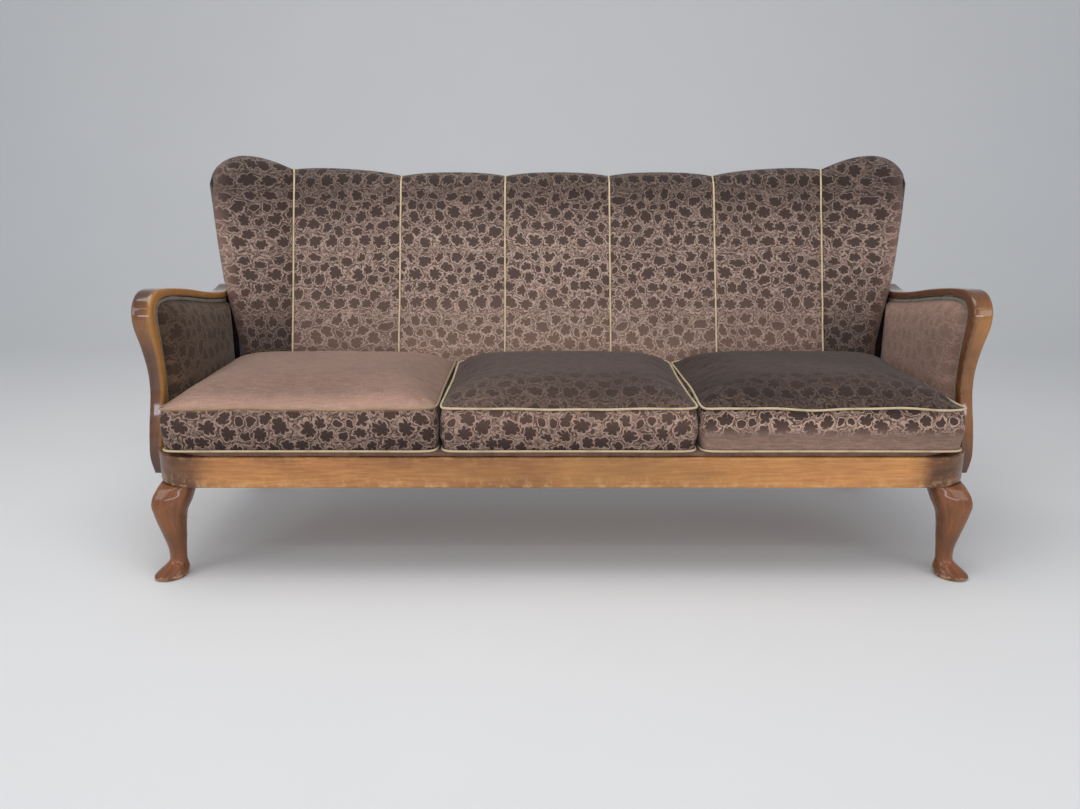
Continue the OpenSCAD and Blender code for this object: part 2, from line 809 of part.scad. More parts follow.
module back_post(side) {
    k = side < 0 ? 0 : 6;
    stations = ordered(k, [for (w = [board_gap / wing_w_low, post_share / 2, post_share]) outward(k, w)]);
    color("burlywood")
        back_board(
            stations, frame_depth, frame_depth + back_frame_t,
            function (k, s) rail_top,
            function (k, s) frame_top(k, s)
        );
}

module wing_frame(side) {
    k = side < 0 ? 0 : 6;
    start = post_share + soft_gap / wing_w_low;
    stations = ordered(k, [for (w = concat([start], wing_board_shares, [wing_frame_share])) outward(k, w)]);
    color("burlywood")
        back_board(
            stations, frame_depth, frame_depth + back_frame_t,
            function (k, s) rail_top,
            function (k, s) frame_top(k, s)
        );
}

// Three straps across the back, from post to post
back_web_shares = [0.36, 0.56, 0.76];
module back_webbing() {
    color("tan")
        for (share = back_web_shares)
            back_board(
                middle_stations, web_depth, web_depth + web_t,
                function (k, s) rail_top + share * back_h - web_w / 2,
                function (k, s) rail_top + share * back_h + web_w / 2
            );
}

cover_share = 0.96;
wing_cover_shares = concat([post_share / 2, post_share], wing_board_shares, [wing_frame_share, cover_share]);
cover_stations = concat(
    [for (i = [len(wing_cover_shares) - 1 : -1 : 0]) [0, 1 - wing_cover_shares[i]]],
    [for (s = middle_stations) each s == [1, 0] || s == [5, 0] ? [s, s + [0, 0.5]] : [s]],
    [for (w = wing_cover_shares) [6, w]]
);

module back_outer_cover() {
    color("saddlebrown")
        back_board(
            cover_stations, cover_depth, cover_depth + cover_t,
            function (k, s) rail_top + soft_gap,
            function (k, s) frame_top(k, s) + top_roll * 2 / 3
        );
}

// Piping lies in the valley of each seam and goes over the top
module back_piping() {
    lift = piping_d / 2 + soft_gap;
    color("wheat") placed()
        for (i = [1 : 6]) {
            top = seam_top(i);
            k = min(i, 5);
            s = i - k;
            profile = concat(
                [for (j = [0 : front_steps]) [-lift, blend(channel_foot, top - top_roll, j / front_steps)]],
                [
                    for (j = [1 : roll_steps])
                        let (a = 90 * j / roll_steps)
                        [top_roll - (top_roll + lift) * cos(a), top - top_roll + (top_roll + lift) * sin(a)]
                ]
            );
            cord([for (p = profile) back_point(k, s, p[0], p[1])], piping_d / 2, [1, 0, 0]);
        }
}

// Seat

web_front = rail_t / 3;
web_back = seat_d - back_rail_t - soft_gap;
cross_straps = 12;
long_straps = 3;

module seat_webbing() {
    color("tan") placed() {
        for (i = [0 : cross_straps - 1])
            translate([
                blend(-1, 1, (i + 0.5) / cross_straps) * (half_w - corner_r) - web_w / 2,
                web_front,
                rail_top
            ])
                cube([web_w, web_back + back_rail_t / 2 - web_front - channel_t, web_t / 2]);
        for (i = [1 : long_straps])
            translate([
                -(half_w - rail_t / 2),
                blend(corner_r / 2, foot_y(), i / (long_straps + 1)) - web_w / 2,
                rail_top + web_t / 2
            ])
                cube([2 * half_w - rail_t, web_w, web_t / 2]);
    }
}

deck_low = rail_top + web_t;
deck_top = deck_low + deck_t;
deck_half_w = half_w + arm_panel_x() - arm_pad_t - rail_t / 4;
deck_back = foot_y() - channel_crown - rail_edge_r;

module seat_deck() {
    r = corner_r - deck_set;
    color("saddlebrown") placed()
        translate([0, 0, deck_low])
            linear_extrude(deck_t)
                union() {
                    for (side = [-1, 1])
                        translate([side * (deck_half_w - r), deck_set + r]) circle(r = r);
                    translate([-(deck_half_w - r), deck_set])
                        square([2 * (deck_half_w - r), deck_back - deck_set]);
                    translate([-deck_half_w, deck_set + r])
                        square([2 * deck_half_w, deck_back - deck_set - r]);
                }
}

// Cushions: x of their two sides, in order left, middle, right
cushion_side = half_w + arm_panel_x() - arm_pad_t - piping_d / 2;
cushion_gap = 2 * soft_gap;
cushion_sides = [
    [-cushion_side, -joint_left - cushion_gap],
    [-joint_left + cushion_gap, joint_right - cushion_gap],
    [joint_right + cushion_gap, cushion_side]
];

cushion_low = deck_top + soft_gap;
cushion_side_n = 10;
cushion_end_n = 7;
cushion_corner_n = 3;
cushion_corner_r = 30;
side_pull = 4;
back_slope_share = 0.33;

// Corner of a cushion's outline, and one of its sides, which pulls in by a little
function cushion_corner(x, y, from) = [
    for (k = [0 : cushion_corner_n])
        let (a = from + 90 * k / cushion_corner_n)
        [x + cushion_corner_r * cos(a), y + cushion_corner_r * sin(a)]
];
function cushion_edge(start, end, pull, n) = [
    for (k = [1 : n - 1]) blend(start, end, k / n) + pull * sin(180 * k / n)
];

// Outline of a cushion seen from above, shrunk by an inset
function cushion_outline(c, z, inset) =
    let (
        r = cushion_corner_r,
        x0 = cushion_sides[c][0] + inset,
        x1 = cushion_sides[c][1] - inset,
        y0 = -cushion_out + inset,
        y1 = cushion_d - cushion_out - back_slope_share * (cushion_low + boxing_h - z) - inset
    )
    concat(
        cushion_corner(x0 + r, y0 + r, 180),
        cushion_edge([x0 + r, y0], [x1 - r, y0], [0, side_pull / 2], cushion_side_n),
        cushion_corner(x1 - r, y0 + r, 270),
        cushion_edge([x1, y0 + r], [x1, y1 - r], [-side_pull, 0], cushion_end_n),
        cushion_corner(x1 - r, y1 - r, 0),
        cushion_edge([x1 - r, y1], [x0 + r, y1], [0, -side_pull], cushion_side_n),
        cushion_corner(x0 + r, y1 - r, 90),
        cushion_edge([x0, y1 - r], [x0, y0 + r], [side_pull, 0], cushion_end_n)
    );

function at_height(outline, z) = [for (p = outline) [p[0], p[1], z]];

edge_inset = piping_d + soft_gap;
// Levels of the boxing between the pipings, and how far each lies inside its fullest level
boxing_shares = [[0.16, 0.25], [0.5, 0], [0.84, 0.25]];
crown_in_shares = [0.016, 0.05, 0.105, 0.19, 0.32];
crown_up_shares = [0.32, 0.6, 0.81, 0.94, 1];

module seat_cushion(c) {
    z0 = cushion_low + piping_d / 2;
    z1 = cushion_low + boxing_h;
    color("saddlebrown") placed()
        skin(concat(
            [at_height(cushion_outline(c, cushion_low, 3 * edge_inset), cushion_low)],
            [at_height(cushion_outline(c, z0, edge_inset), z0)],
            [
                for (t = boxing_shares)
                    let (z = blend(z0, z1, t[0]))
                    at_height(cushion_outline(c, z, t[1] * edge_inset), z)
            ],
            [at_height(cushion_outline(c, z1, edge_inset), z1)],
            [for (k = [0 : len(crown_in_shares) - 1])
                at_height(
                    cushion_outline(c, z1, edge_inset + crown_in_shares[k] * cushion_d),
                    z1 + crown_up_shares[k] * cushion_crown
                )]
        ));
}

// Two rings of piping, in the seams above and below the boxing
module cushion_piping(c) {
    inset = edge_inset - piping_d / 2 - soft_gap;
    color("wheat") placed()
        for (z = [cushion_low + piping_d / 2, cushion_low + boxing_h])
            cord(at_height(cushion_outline(c, z, inset), z), piping_d / 2, [0, 0, 1], closed = true);
}

// The floor point under the middle of the sofa, measured back from the front rail's face
back_reach = seam_y(3, frame_top(3, 0) + top_roll * 2 / 3) + cover_depth + cover_t;
front_reach = min([for (i = [0 : len(leg_foot_shares) - 1]) for (p = leg_ring(i)) p[1]]);
origin_y = (back_reach + front_reach) / 2;

front_rail();
side_rail(-1);  // side_rail_left
side_rail(1);  // side_rail_right
back_rail();
cross_rail();
corner_blocks();
front_leg(-1);  // front_leg_left
front_leg(1);  // front_leg_right
back_leg(-1);  // back_leg_left
back_leg(1);  // back_leg_right
leg_bolts();
arm(-1);  // arm_left
arm(1);  // arm_right
arm_post(-1);  // arm_post_left
arm_post(1);  // arm_post_right
arm_bolts();
arm_pad(-1);  // arm_pad_left
arm_pad(1);  // arm_pad_right
arm_panel(-1);  // arm_panel_left
arm_panel(1);  // arm_panel_right
arm_gimp(-1);  // arm_gimp_left
arm_gimp(1);  // arm_gimp_right
back_post(-1);  // back_post_left
back_post(1);  // back_post_right
back_top_rail();
back_lower_rail();
back_stiles();
wing_frame(-1);  // wing_frame_left
wing_frame(1);  // wing_frame_right
back_webbing();
back_outer_cover();
wing(-1);  // wing_left
back_channel(1);  // back_channel_1
back_channel(2);  // back_channel_2
back_channel(3);  // back_channel_3
back_channel(4);  // back_channel_4
back_channel(5);  // back_channel_5
wing(1);  // wing_right
back_piping();
seat_webbing();
seat_deck();
seat_cushion(0);  // seat_cushion_left
seat_cushion(1);  // seat_cushion_middle
seat_cushion(2);  // seat_cushion_right
cushion_piping(0);  // cushion_piping_left
cushion_piping(1);  // cushion_piping_middle
cushion_piping(2);  // cushion_piping_right
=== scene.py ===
"""Dresses the packed cabriole sofa for rendering.

Metres, +Z up, +X to the right seen from the front, +Y to the back, in the frame of the
packed model. Shapes are worked out in the rail frame, whose y starts at the front
rail's face, and moved back by ORIGIN_Y when they become meshes.
"""

import math

import bpy
import numpy as np
from bpy.props import FloatProperty, FloatVectorProperty, PointerProperty
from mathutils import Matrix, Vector


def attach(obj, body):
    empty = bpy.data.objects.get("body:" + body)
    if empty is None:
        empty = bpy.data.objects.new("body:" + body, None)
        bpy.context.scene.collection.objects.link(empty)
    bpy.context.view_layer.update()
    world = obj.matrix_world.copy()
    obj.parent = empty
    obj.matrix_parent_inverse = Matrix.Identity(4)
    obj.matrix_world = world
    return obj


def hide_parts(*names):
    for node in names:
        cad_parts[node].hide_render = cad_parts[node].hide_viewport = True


bl_info = {
    "name": "Cabriole Sofa",
    "version": (1, 0, 0),
    "blender": (4, 5, 0),
    "location": "3D Viewport > Sidebar > Sofa",
    "description": "Upholstery, show-wood and studio of a three-seat cabriole sofa",
    "category": "Object",
}

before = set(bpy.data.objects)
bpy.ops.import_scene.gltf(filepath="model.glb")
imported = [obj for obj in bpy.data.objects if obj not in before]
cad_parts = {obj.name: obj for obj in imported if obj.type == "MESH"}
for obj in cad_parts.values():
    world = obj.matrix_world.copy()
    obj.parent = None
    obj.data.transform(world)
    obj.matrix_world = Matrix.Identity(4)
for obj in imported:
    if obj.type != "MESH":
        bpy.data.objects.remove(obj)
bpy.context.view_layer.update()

# Sizes that several pieces share; GAP and SOFT_GAP are clearances, x grows with side
ORIGIN_Y = 0.400407
HALF_W = 0.901
RAIL_H = 0.070
RAIL_T = 0.028
RAIL_EDGE = 0.005
SIDE_BACK = 0.6225
CORNER_R = 0.100
LEG_H = 0.218
RAIL_TOP = LEG_H + RAIL_H
SOFT_GAP = 0.0003
GAP = 0.0009
SIDES = ((-1, "left"), (1, "right"))


# Shapes: numpy helpers


def blend(a, b, t):
    return a + (b - a) * t


def within(v):
    """The value, held between 0 and 1."""
    return np.clip(v, 0, 1)


def near_to(x, middle, reach):
    """1 at a middle value, falling evenly to 0 at a distance of reach."""
    return within(1 - np.abs(x - middle) / reach)


def smooth_step(v):
    v = within(v)
    return v * v * (3 - 2 * v)


def round_off(v):
    """Fall of a quarter circle, from 0 at 0 to 1 at 1 and beyond."""
    return 1 - np.sqrt(1 - within(v) ** 2)


def quarter(steps, start=0.0):
    """Angles of a quarter turn."""
    return np.linspace(start, start + math.pi / 2, steps)


def unit(v):
    return v / np.linalg.norm(v, axis=-1, keepdims=True)


def smooth(points, steps):
    """Catmull-Rom curve through the rows of a table, in a number of steps between rows."""
    p = np.asarray(points, float)
    q = np.concatenate([p[:1], p, p[-1:]])
    t = (np.arange(steps) / steps)[None, :, None]
    a, b, c, d = (q[i : len(q) - 3 + i, None, :] for i in range(4))
    run = 0.5 * (2 * b + (c - a) * t + (2 * a - 5 * b + 4 * c - d) * t**2 + (3 * b - a - 3 * c + d) * t**3)
    return np.concatenate([run.reshape(-1, p.shape[1]), p[-1:]])


def table(shares, x):
    """Value at x (0 to 1) of a smooth curve through evenly spaced values."""
    rows = smooth(np.asarray(shares, float)[:, None], 12)[:, 0]
    return np.interp(x, np.linspace(0, 1, len(rows)), rows)


def ripple(x, y, seed, count=5):
    """Seeded soft unevenness: a sum of slanting sine waves, about -1 to 1."""
    rng = np.random.default_rng(seed)
    out = 0
    for _ in range(count):
        kx, ky = rng.normal(0, 1, 2)
        out = out + np.sin(kx * x + ky * y + rng.uniform(0, 2 * math.pi))
    return out / math.sqrt(count) / 1.4


def arc_length(points):
    """Distance along a row of points from the first one."""
    return np.concatenate([[0], np.cumsum(np.linalg.norm(np.diff(points, axis=0), axis=1))])


def read_along(points, run, t):
    """Points of a line at distances t from its start; run holds the distances of its own points."""
    return np.stack([np.interp(t, run, column) for column in points.T], -1)


def there_and_back(values):
    return np.concatenate([values, values[::-1], values[:1]])


def add_object(name, data):
    obj = bpy.data.objects.new(name, data)
    bpy.context.collection.objects.link(obj)
    return obj


def read_all(items, key, width=1, kind=np.float32):
    """A row of width values for each item of a Blender collection."""
    values = np.empty(len(items) * width, kind)
    items.foreach_get(key, values)
    return values.reshape(-1, width)


def new_piece(name, verts, faces, uvs, tint=None):
    """Closed mesh from arrays of corners and faces, turned so that its faces point outwards.

    uvs holds a pair for each corner of each face, tint a colour for each vertex.
    """
    verts = np.asarray(verts, float).reshape(-1, 3)
    lengths = np.array([len(f) for f in faces])
    loops = np.concatenate([np.asarray(f) for f in faces])
    starts = np.concatenate([[0], np.cumsum(lengths)[:-1]])
    first = np.repeat(loops[starts], lengths)
    after = np.concatenate([loops[1:], loops[:1]])
    last = np.zeros(len(loops), bool)
    last[starts + lengths - 1] = True
    after[last] = loops[starts]
    volume = np.einsum("ij,ij->", verts[first], np.cross(verts[loops], verts[after]))
    if volume < 0:
        order = np.concatenate([np.arange(s + n - 1, s - 1, -1) for s, n in zip(starts, lengths)])
        loops, uvs = loops[order], uvs[order]
    mesh = bpy.data.meshes.new(name)
    mesh.vertices.add(len(verts))
    mesh.vertices.foreach_set("co", (verts - [0, ORIGIN_Y, 0]).astype(np.float32).ravel())
    mesh.loops.add(len(loops))
    mesh.loops.foreach_set("vertex_index", loops.astype(np.int32))
    mesh.polygons.add(len(faces))
    mesh.polygons.foreach_set("loop_start", starts.astype(np.int32))
    mesh.update(calc_edges=True)
    mesh.polygons.foreach_set("use_smooth", lengths <= 4)
    layer = mesh.uv_layers.new(name="cloth")
    layer.data.foreach_set("uv", uvs.astype(np.float32).ravel())
    if tint is not None:
        layer = mesh.color_attributes.new("tint", "FLOAT_COLOR", "POINT")
        rgba = np.concatenate([np.asarray(tint, float).reshape(-1, 3), np.ones((len(verts), 1))], axis=1)
        layer.data.foreach_set("color", rgba.astype(np.float32).ravel())
    mesh.validate()
    return add_object(name, mesh)


def grid_faces(nu, nv, loop_u=False, loop_v=False, base=0):
    """Corners of the squares of a grid of nu by nv points."""
    rows, columns = np.arange(nu if loop_u else nu - 1), np.arange(nv if loop_v else nv - 1)
    i, j = np.meshgrid(rows, columns, indexing="ij")
    k, m = (i + 1) % nu, (j + 1) % nv
    quads = np.stack([i * nv + j, k * nv + j, k * nv + m, i * nv + m], axis=-1).reshape(-1, 4)
    steps = np.stack([np.stack([i + a, j + b], -1) for a, b in ((0, 0), (1, 0), (1, 1), (0, 1))], 2)
    return quads + base, steps.reshape(-1, 4, 2)


def tube(name, grid, loop_u=False, uv=None, tint=None, ends="cap"):
    """Solid whose grid goes round along v: rings of points carried along u.

    uv gives a corner's cloth coordinates from its steps along u and v. The ends are closed
    by one face each, or by strips between the two halves of a ring.
    """
    nu, nv = grid.shape[:2]
    quads, steps = grid_faces(nu, nv, loop_u, True)
    faces = list(quads)
    corner = np.stack(uv(steps[..., 0], steps[..., 1]), -1) if uv else np.zeros(quads.shape + (2,))
    corners = [corner.reshape(-1, 2)]
    if not loop_u and ends == "cap":
        faces += [np.arange(nv), (nu - 1) * nv + np.arange(nv)[::-1]]
        corners.append(np.zeros((2 * nv, 2)))
    elif not loop_u:
        j = np.arange(nv // 2 - 1)
        lids = list(np.stack([j, j + 1, nv - 2 - j, nv - 1 - j], -1))
        if nv % 2:
            lids.append(nv // 2 + np.arange(-1, 2))
        faces += lids + [(nu - 1) * nv + lid[::-1] for lid in lids]
        corners.append(np.zeros((2 * sum(len(lid) for lid in lids), 2)))
    return new_piece(name, grid, faces, np.concatenate(corners), tint)


def bundle(name, parts):
    """One piece of several tubes, each a grid with its cloth coordinates along u and across v."""
    verts, faces, corners = [], [], []
    for grid, along, across in parts:
        nu, nv = grid.shape[:2]
        base = sum(len(v) for v in verts)
        quads, steps = grid_faces(nu, nv, False, True, base)
        faces += [*quads, base + np.arange(nv), base + (nu - 1) * nv + np.arange(nv)[::-1]]
        corners.append(np.stack([along[steps[..., 0]], across[steps[..., 1]]], -1).reshape(-1, 2))
        corners.append(np.zeros((2 * nv, 2)))
        verts.append(grid.reshape(-1, 3))
    return new_piece(name, np.concatenate(verts), faces, np.concatenate(corners))


CORD_SIDES = 10
CORD_ROUND = np.arange(CORD_SIDES + 1) * 0.0016


def cord_grid(path, radius, up, loop=False):
    """Round section carried along a path; up gives the first direction of each section.

    Point = path + radius * (cos a * u + sin a * w), with u the part of up square to the path.
    """
    path = np.asarray(path, float)
    t = unit(np.roll(path, -1, 0) - np.roll(path, 1, 0) if loop else np.gradient(path, axis=0))
    up = np.broadcast_to(np.asarray(up, float), path.shape)
    u = unit(up - np.sum(up * t, -1, keepdims=True) * t)
    w = np.cross(t, u)
    a = np.arange(CORD_SIDES)[None, :, None] * 2 * math.pi / CORD_SIDES
    return path[:, None] + (np.cos(a) * u[:, None] + np.sin(a) * w[:, None]) * radius


def mirrored(points, side):
    """The right half is worked out; the left half is its mirror image."""
    return points * [side, 1, 1]


def both(name):
    return [f"{name}_{side}" for _, side in SIDES]


def finish_piece(obj, material, body, node):
    """Gives a piece its material, the body that it moves with, and what it stands for."""
    obj.data.materials.clear()
    obj.data.materials.append(material)
    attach(obj, body)
    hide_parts(node)
    return obj


def solid(name, grid, material, node, body="frame", slot=None, fill=None, **shape):
    """A tube with its finish, standing for one node of the packed model."""
    return finish_piece(tube(name, grid, **shape), finish(material), body, node)


# Materials: shader maths


def operator_method(operation, turned=False):
    """Method for one of Python's own operators; turned puts the other value first."""
    return lambda value, *others: value.maths(operation, *(others + (value,) if turned else (value, *others)))


def linear(rgb):
    """Colour written as 0 to 255 screen values, for a shader."""
    c = np.asarray(rgb, float) / 255
    return (*np.where(c <= 0.04045, c / 12.92, ((c + 0.055) / 1.055) ** 2.4).tolist(), 1.0)


class Value:
    """A shader socket that can be used in sums, like a number."""

    def __init__(self, shader, socket):
        self.shader = shader
        self.socket = socket

    def maths(self, operation, *others):
        return self.shader.node("ShaderNodeMath", {"operation": operation}, dict(enumerate(others)))

    __add__, __radd__ = operator_method("ADD"), operator_method("ADD", True)
    __sub__, __rsub__ = operator_method("SUBTRACT"), operator_method("SUBTRACT", True)
    __mul__, __rmul__ = operator_method("MULTIPLY"), operator_method("MULTIPLY", True)
    __truediv__, __pow__, __abs__ = (operator_method(name) for name in ("DIVIDE", "POWER", "ABSOLUTE"))
    least, most = operator_method("MINIMUM"), operator_method("MAXIMUM")
    whole, part, wave = (operator_method(name) for name in ("FLOOR", "FRACT", "SINE"))

    def odd(self):
        return self.maths("MODULO", self, 2.0)

    def ramp(self, low, high):
        """Smooth step from 0 at low to 1 at high."""
        inputs = {"Value": self, "From Min": low, "From Max": high}
        return self.shader.node("ShaderNodeMapRange", {"interpolation_type": "SMOOTHSTEP"}, inputs)


class Finish:
    """Builds one material: node() adds any node, the rest are the ones used most."""

    def __init__(self, name):
        self.material = bpy.data.materials.new(name)
        self.material.use_nodes = True
        self.tree = self.material.node_tree
        self.tree.nodes.clear()

    def node(self, kind, settings=None, inputs=None, output=0):
        n = self.tree.nodes.new(kind)
        for key, value in (settings or {}).items():
            setattr(n, key, value)
        for key, value in (inputs or {}).items():
            if isinstance(value, Value):
                self.tree.links.new(value.socket, n.inputs[key])
            else:
                n.inputs[key].default_value = value
        return Value(self, n.outputs[output])

    def place(self, which="Object"):
        return self.node("ShaderNodeTexCoord", output=which)

    def tint(self):
        """The piece's own colour attribute: three numbers painted on its points."""
        painted = self.node("ShaderNodeVertexColor", {"layer_name": "tint"}, output="Color")
        return self.split(painted, "ShaderNodeSeparateColor")

    def split(self, value, kind="ShaderNodeSeparateXYZ"):
        first = self.node(kind, None, {0: value})
        return [Value(self, output) for output in first.socket.node.outputs[:3]]

    def join(self, x, y, z=0.0):
        return self.node("ShaderNodeCombineXYZ", None, {0: x, 1: y, 2: z})

    def stretched(self, vector, *scale):
        return self.node("ShaderNodeMapping", None, {"Vector": vector, "Scale": scale})

    def vector(self, operation, *inputs):
        output = 1 if operation == "LENGTH" else 0
        return self.node("ShaderNodeVectorMath", {"operation": operation}, dict(enumerate(inputs)), output)

    def noise(self, vector, scale, detail=2.0, rough=0.5, distortion=0.0, colour=False):
        inputs = {"Vector": vector, "Scale": scale, "Detail": detail}
        inputs.update({"Roughness": rough, "Distortion": distortion})
        return self.node("ShaderNodeTexNoise", None, inputs, 1 if colour else 0)

    def mix(self, a, b, factor, beyond=False, blend_type="MIX"):
        """Colour a where factor is 0, colour b where it is 1, and further on if beyond is set."""
        settings = {"data_type": "RGBA", "blend_type": blend_type, "clamp_factor": not beyond}
        return self.node("ShaderNodeMix", settings, {0: factor, 6: a, 7: b}, 2)

    def done(self, colour, roughness, height=None, depth=0.001, strength=1.0, **fixed):
        """Principled shader; height is a value in units of depth metres, fed to a Bump node."""
        inputs = {"Base Color": colour, "Roughness": roughness, **fixed}
        if height is not None:
            relief = {"Height": height, "Distance": depth, "Strength": strength}
            inputs["Normal"] = self.node("ShaderNodeBump", None, relief)
        shader = self.node("ShaderNodeBsdfPrincipled", None, inputs)
        out = self.tree.nodes.new("ShaderNodeOutputMaterial")
        self.tree.links.new(shader.socket, out.inputs[0])
        return self.material


# One motif of the damask: buds and lobed leaves, in metres from the motif's middle: place
# across and up, radius, lobes of the rim, turn in degrees. The right half is listed, the
# left half is its mirror image.
DAMASK_LEAVES = (
    (0.0125, 0.038, 0.0094, 0, 0),
    (0.0000, 0.006, 0.0112, 5, 90),
    (0.0340, 0.012, 0.0150, 7, 20),
    (0.0440, 0.044, 0.0141, 5, 40),
    (0.0760, 0.026, 0.0178, 7, 10),
    (0.1000, 0.058, 0.0122, 5, 30),
    (0.0580, -0.018, 0.0122, 5, 60),
    (0.0260, -0.030, 0.0150, 6, 0),
    (0.0000, -0.062, 0.0141, 6, 15),
    (0.0460, -0.056, 0.0159, 7, 35),
    (0.0920, -0.012, 0.0141, 6, 5),
    (0.0860, -0.056, 0.0169, 6, 50),
    (0.0200, 0.074, 0.0141, 5, 70),
    (0.0660, 0.070, 0.0122, 5, 20),
)
DAMASK_W = 0.212
DAMASK_ROW = 0.177
DAMASK_START = (-0.042, 0.0623)


def damask(f, cloth):
    """Leaf and flower figure of the velour, in rows shifted by half a motif.

    Returns the dark figure and its light outline, both 0 to 1. A leaf's value is the
    distance to its middle over its radius, divided by 0.48 + 0.58 |sin(lobes * angle / 2)|^0.4:
    it is 1 on a rim of petals with narrow clefts. The figure lies where the least value of
    all leaves is under 1, with a light and then a dark line round it. Between the leaves run
    scrolls: light and dark lines along the middle level of two noises.
    """
    middle = (0.5, 0.5, 0.5)
    warped = cloth
    for scale, reach in ((17.0, 0.020), (58.0, 0.0110), (150.0, 0.0050)):
        away = f.vector("SUBTRACT", f.noise(cloth, scale, 0.0, colour=True), middle)
        warped = f.vector("ADD", warped, f.vector("MULTIPLY", away, (reach, reach, 0)))
    x, y, _ = f.split(warped)
    row = ((y - DAMASK_START[1]) / DAMASK_ROW).whole()
    across = ((x - DAMASK_START[0]) / DAMASK_W + row.odd() * 0.5).part()
    up = ((y - DAMASK_START[1]) / DAMASK_ROW).part()
    place = f.join(abs(across - 0.5) * DAMASK_W, (up - 0.5) * DAMASK_ROW)
    nearest = None
    for cx, cy, radius, lobes, turn in DAMASK_LEAVES:
        local = f.vector("SUBTRACT", place, (cx, cy, 0))
        leaf = f.vector("LENGTH", local) / radius
        if lobes:
            lx, ly, _ = f.split(local)
            angle = ly.maths("ARCTAN2", ly, lx) - math.radians(turn)
            leaf = leaf / (abs((angle * (lobes / 2)).wave()) ** 0.4 * 0.58 + 0.48)
        nearest = leaf if nearest is None else nearest.least(leaf)
    ring = nearest.ramp(1.20, 1.26) * nearest.ramp(1.46, 1.40) * f.noise(warped, 45.0, 0.0).ramp(0.44, 0.50)
    ground = nearest.ramp(1.40, 1.46)
    pale = abs(f.noise(warped, 70.0, 0.0) - 0.5).ramp(0.060, 0.034) * ground
    deep = abs(f.noise(warped, 88.0, 0.0) - 0.47).ramp(0.072, 0.040) * ground * (1.0 - pale)
    figure = nearest.ramp(1.0, 0.94).most(ring * 0.9).most(deep * 0.95)
    outline = (nearest.ramp(0.96, 1.02) * nearest.ramp(1.26, 1.19)).most(pale)
    return figure, outline


def velour_finish(name, dark, ground, light, contrast=1.0):
    """Brown velour with the damask woven in, paler and pinker where the pile lies over."""
    f = Finish(name)
    cloth = f.place("UV")
    painted_light, strength, pink_and_sheen = f.tint()
    figure, outline = damask(f, cloth)
    u, v, _ = f.split(cloth)
    specks = (((u + v) * 1050.0).wave() * ((u - v) * 1050.0).wave()).ramp(-0.2, 0.5)
    specks = specks * 0.6 + f.noise(cloth, 430.0, 1.0).ramp(0.42, 0.60) * 0.4
    fade = f.noise(cloth, 7.0, 3.0).ramp(0.35, 0.65)
    show = strength * contrast
    body = f.mix(ground, light, specks * 0.62)
    body = f.mix(body, light, outline)
    woven = f.mix(body, dark, figure)
    brushed = f.noise(f.stretched(cloth, 26, 210, 1), 1.0, 3.0, 0.6).ramp(0.34, 0.66)
    threads = f.noise(f.stretched(cloth, 140, 900, 1), 1.0, 1.0).ramp(0.35, 0.65)
    plain = f.mix(ground, dark, brushed * 0.45 + threads * 0.28)
    base = f.mix(plain, woven, show)
    # Pink, partly the cloth's own tone and partly a painted sheen
    base = f.mix(base, linear((180, 142, 126)), pink_and_sheen * 0.45)
    # Painted light and shade: the colour is multiplied by a lightness painted on the piece's points
    shade = f.mix((0.30, 0.28, 0.265, 1), (1.32, 1.27, 1.20, 1), painted_light, beyond=True)
    toned = f.mix(base, shade, 1.0, blend_type="MULTIPLY")
    toned = f.mix(toned, linear((60, 50, 46)), fade * 0.10)
    pile = f.noise(cloth, 1500.0, 1.0)
    height = figure * -0.5 + pile * 0.35 + outline * 0.25
    sheen = {"Sheen Weight": 0.16, "Sheen Roughness": 0.45, "Sheen Tint": (0.85, 0.78, 0.74, 1)}
    return f.done(toned, 0.82, height, 0.0009, 0.55, **sheen, **{"Specular IOR Level": 0.2})


def wood_finish(name, pale, mid, deep, gloss, coat, grain, glow):
    """Stained and polished beech: grain runs along the piece's own u, with short flecks.

    tint holds stain (darker), wear (paler) and warmth on the points of the piece.
    """
    f = Finish(name)
    along = f.place("UV")
    stain_and_shade, wear_and_highlight, warm = f.tint()
    long_grain = f.noise(f.stretched(along, 4.5, 60, 1), 3.0, 4.0, 0.6, 0.6)
    fibres = f.noise(f.stretched(along, 14, 420, 1), 2.4, 3.0, 0.65)
    flecks = f.noise(f.stretched(along, 60, 340, 1), 2.2, 1.0).ramp(0.60, 0.70)
    cloud = f.noise(f.stretched(along, 5, 12, 1), 1.6, 3.0)
    tone = f.mix(mid, pale, (long_grain.ramp(0.38, 0.66) * 0.75 + fibres * 0.35) * grain)
    tone = f.mix(tone, deep, (fibres.ramp(0.50, 0.74) * 0.42 + flecks * 0.22) * grain)
    tone = f.mix(tone, deep, cloud.ramp(0.44, 0.70) * 0.34)
    tone = f.mix(tone, glow, warm * 0.55 * (0.55 + long_grain * 0.9))
    # Darker by stains and by painted shade
    tone = f.mix(tone, linear((58, 36, 30)), stain_and_shade * (0.62 + cloud * 0.4))
    scuffs = f.noise(along, 46.0, 4.0, 0.7).ramp(0.48, 0.62)
    # Paler on worn places and on painted highlights
    tone = f.mix(tone, linear((214, 170, 118)), wear_and_highlight * scuffs * 0.75)
    rough = gloss + f.noise(along, 18.0, 2.0) * 0.16 + wear_and_highlight * scuffs * 0.2
    height = fibres * 0.5 + flecks * -0.4
    polish = {"Specular IOR Level": 0.22, "Coat Weight": coat, "Coat Roughness": 0.05}
    return f.done(tone, rough, height, 0.0004, 0.4, **polish)


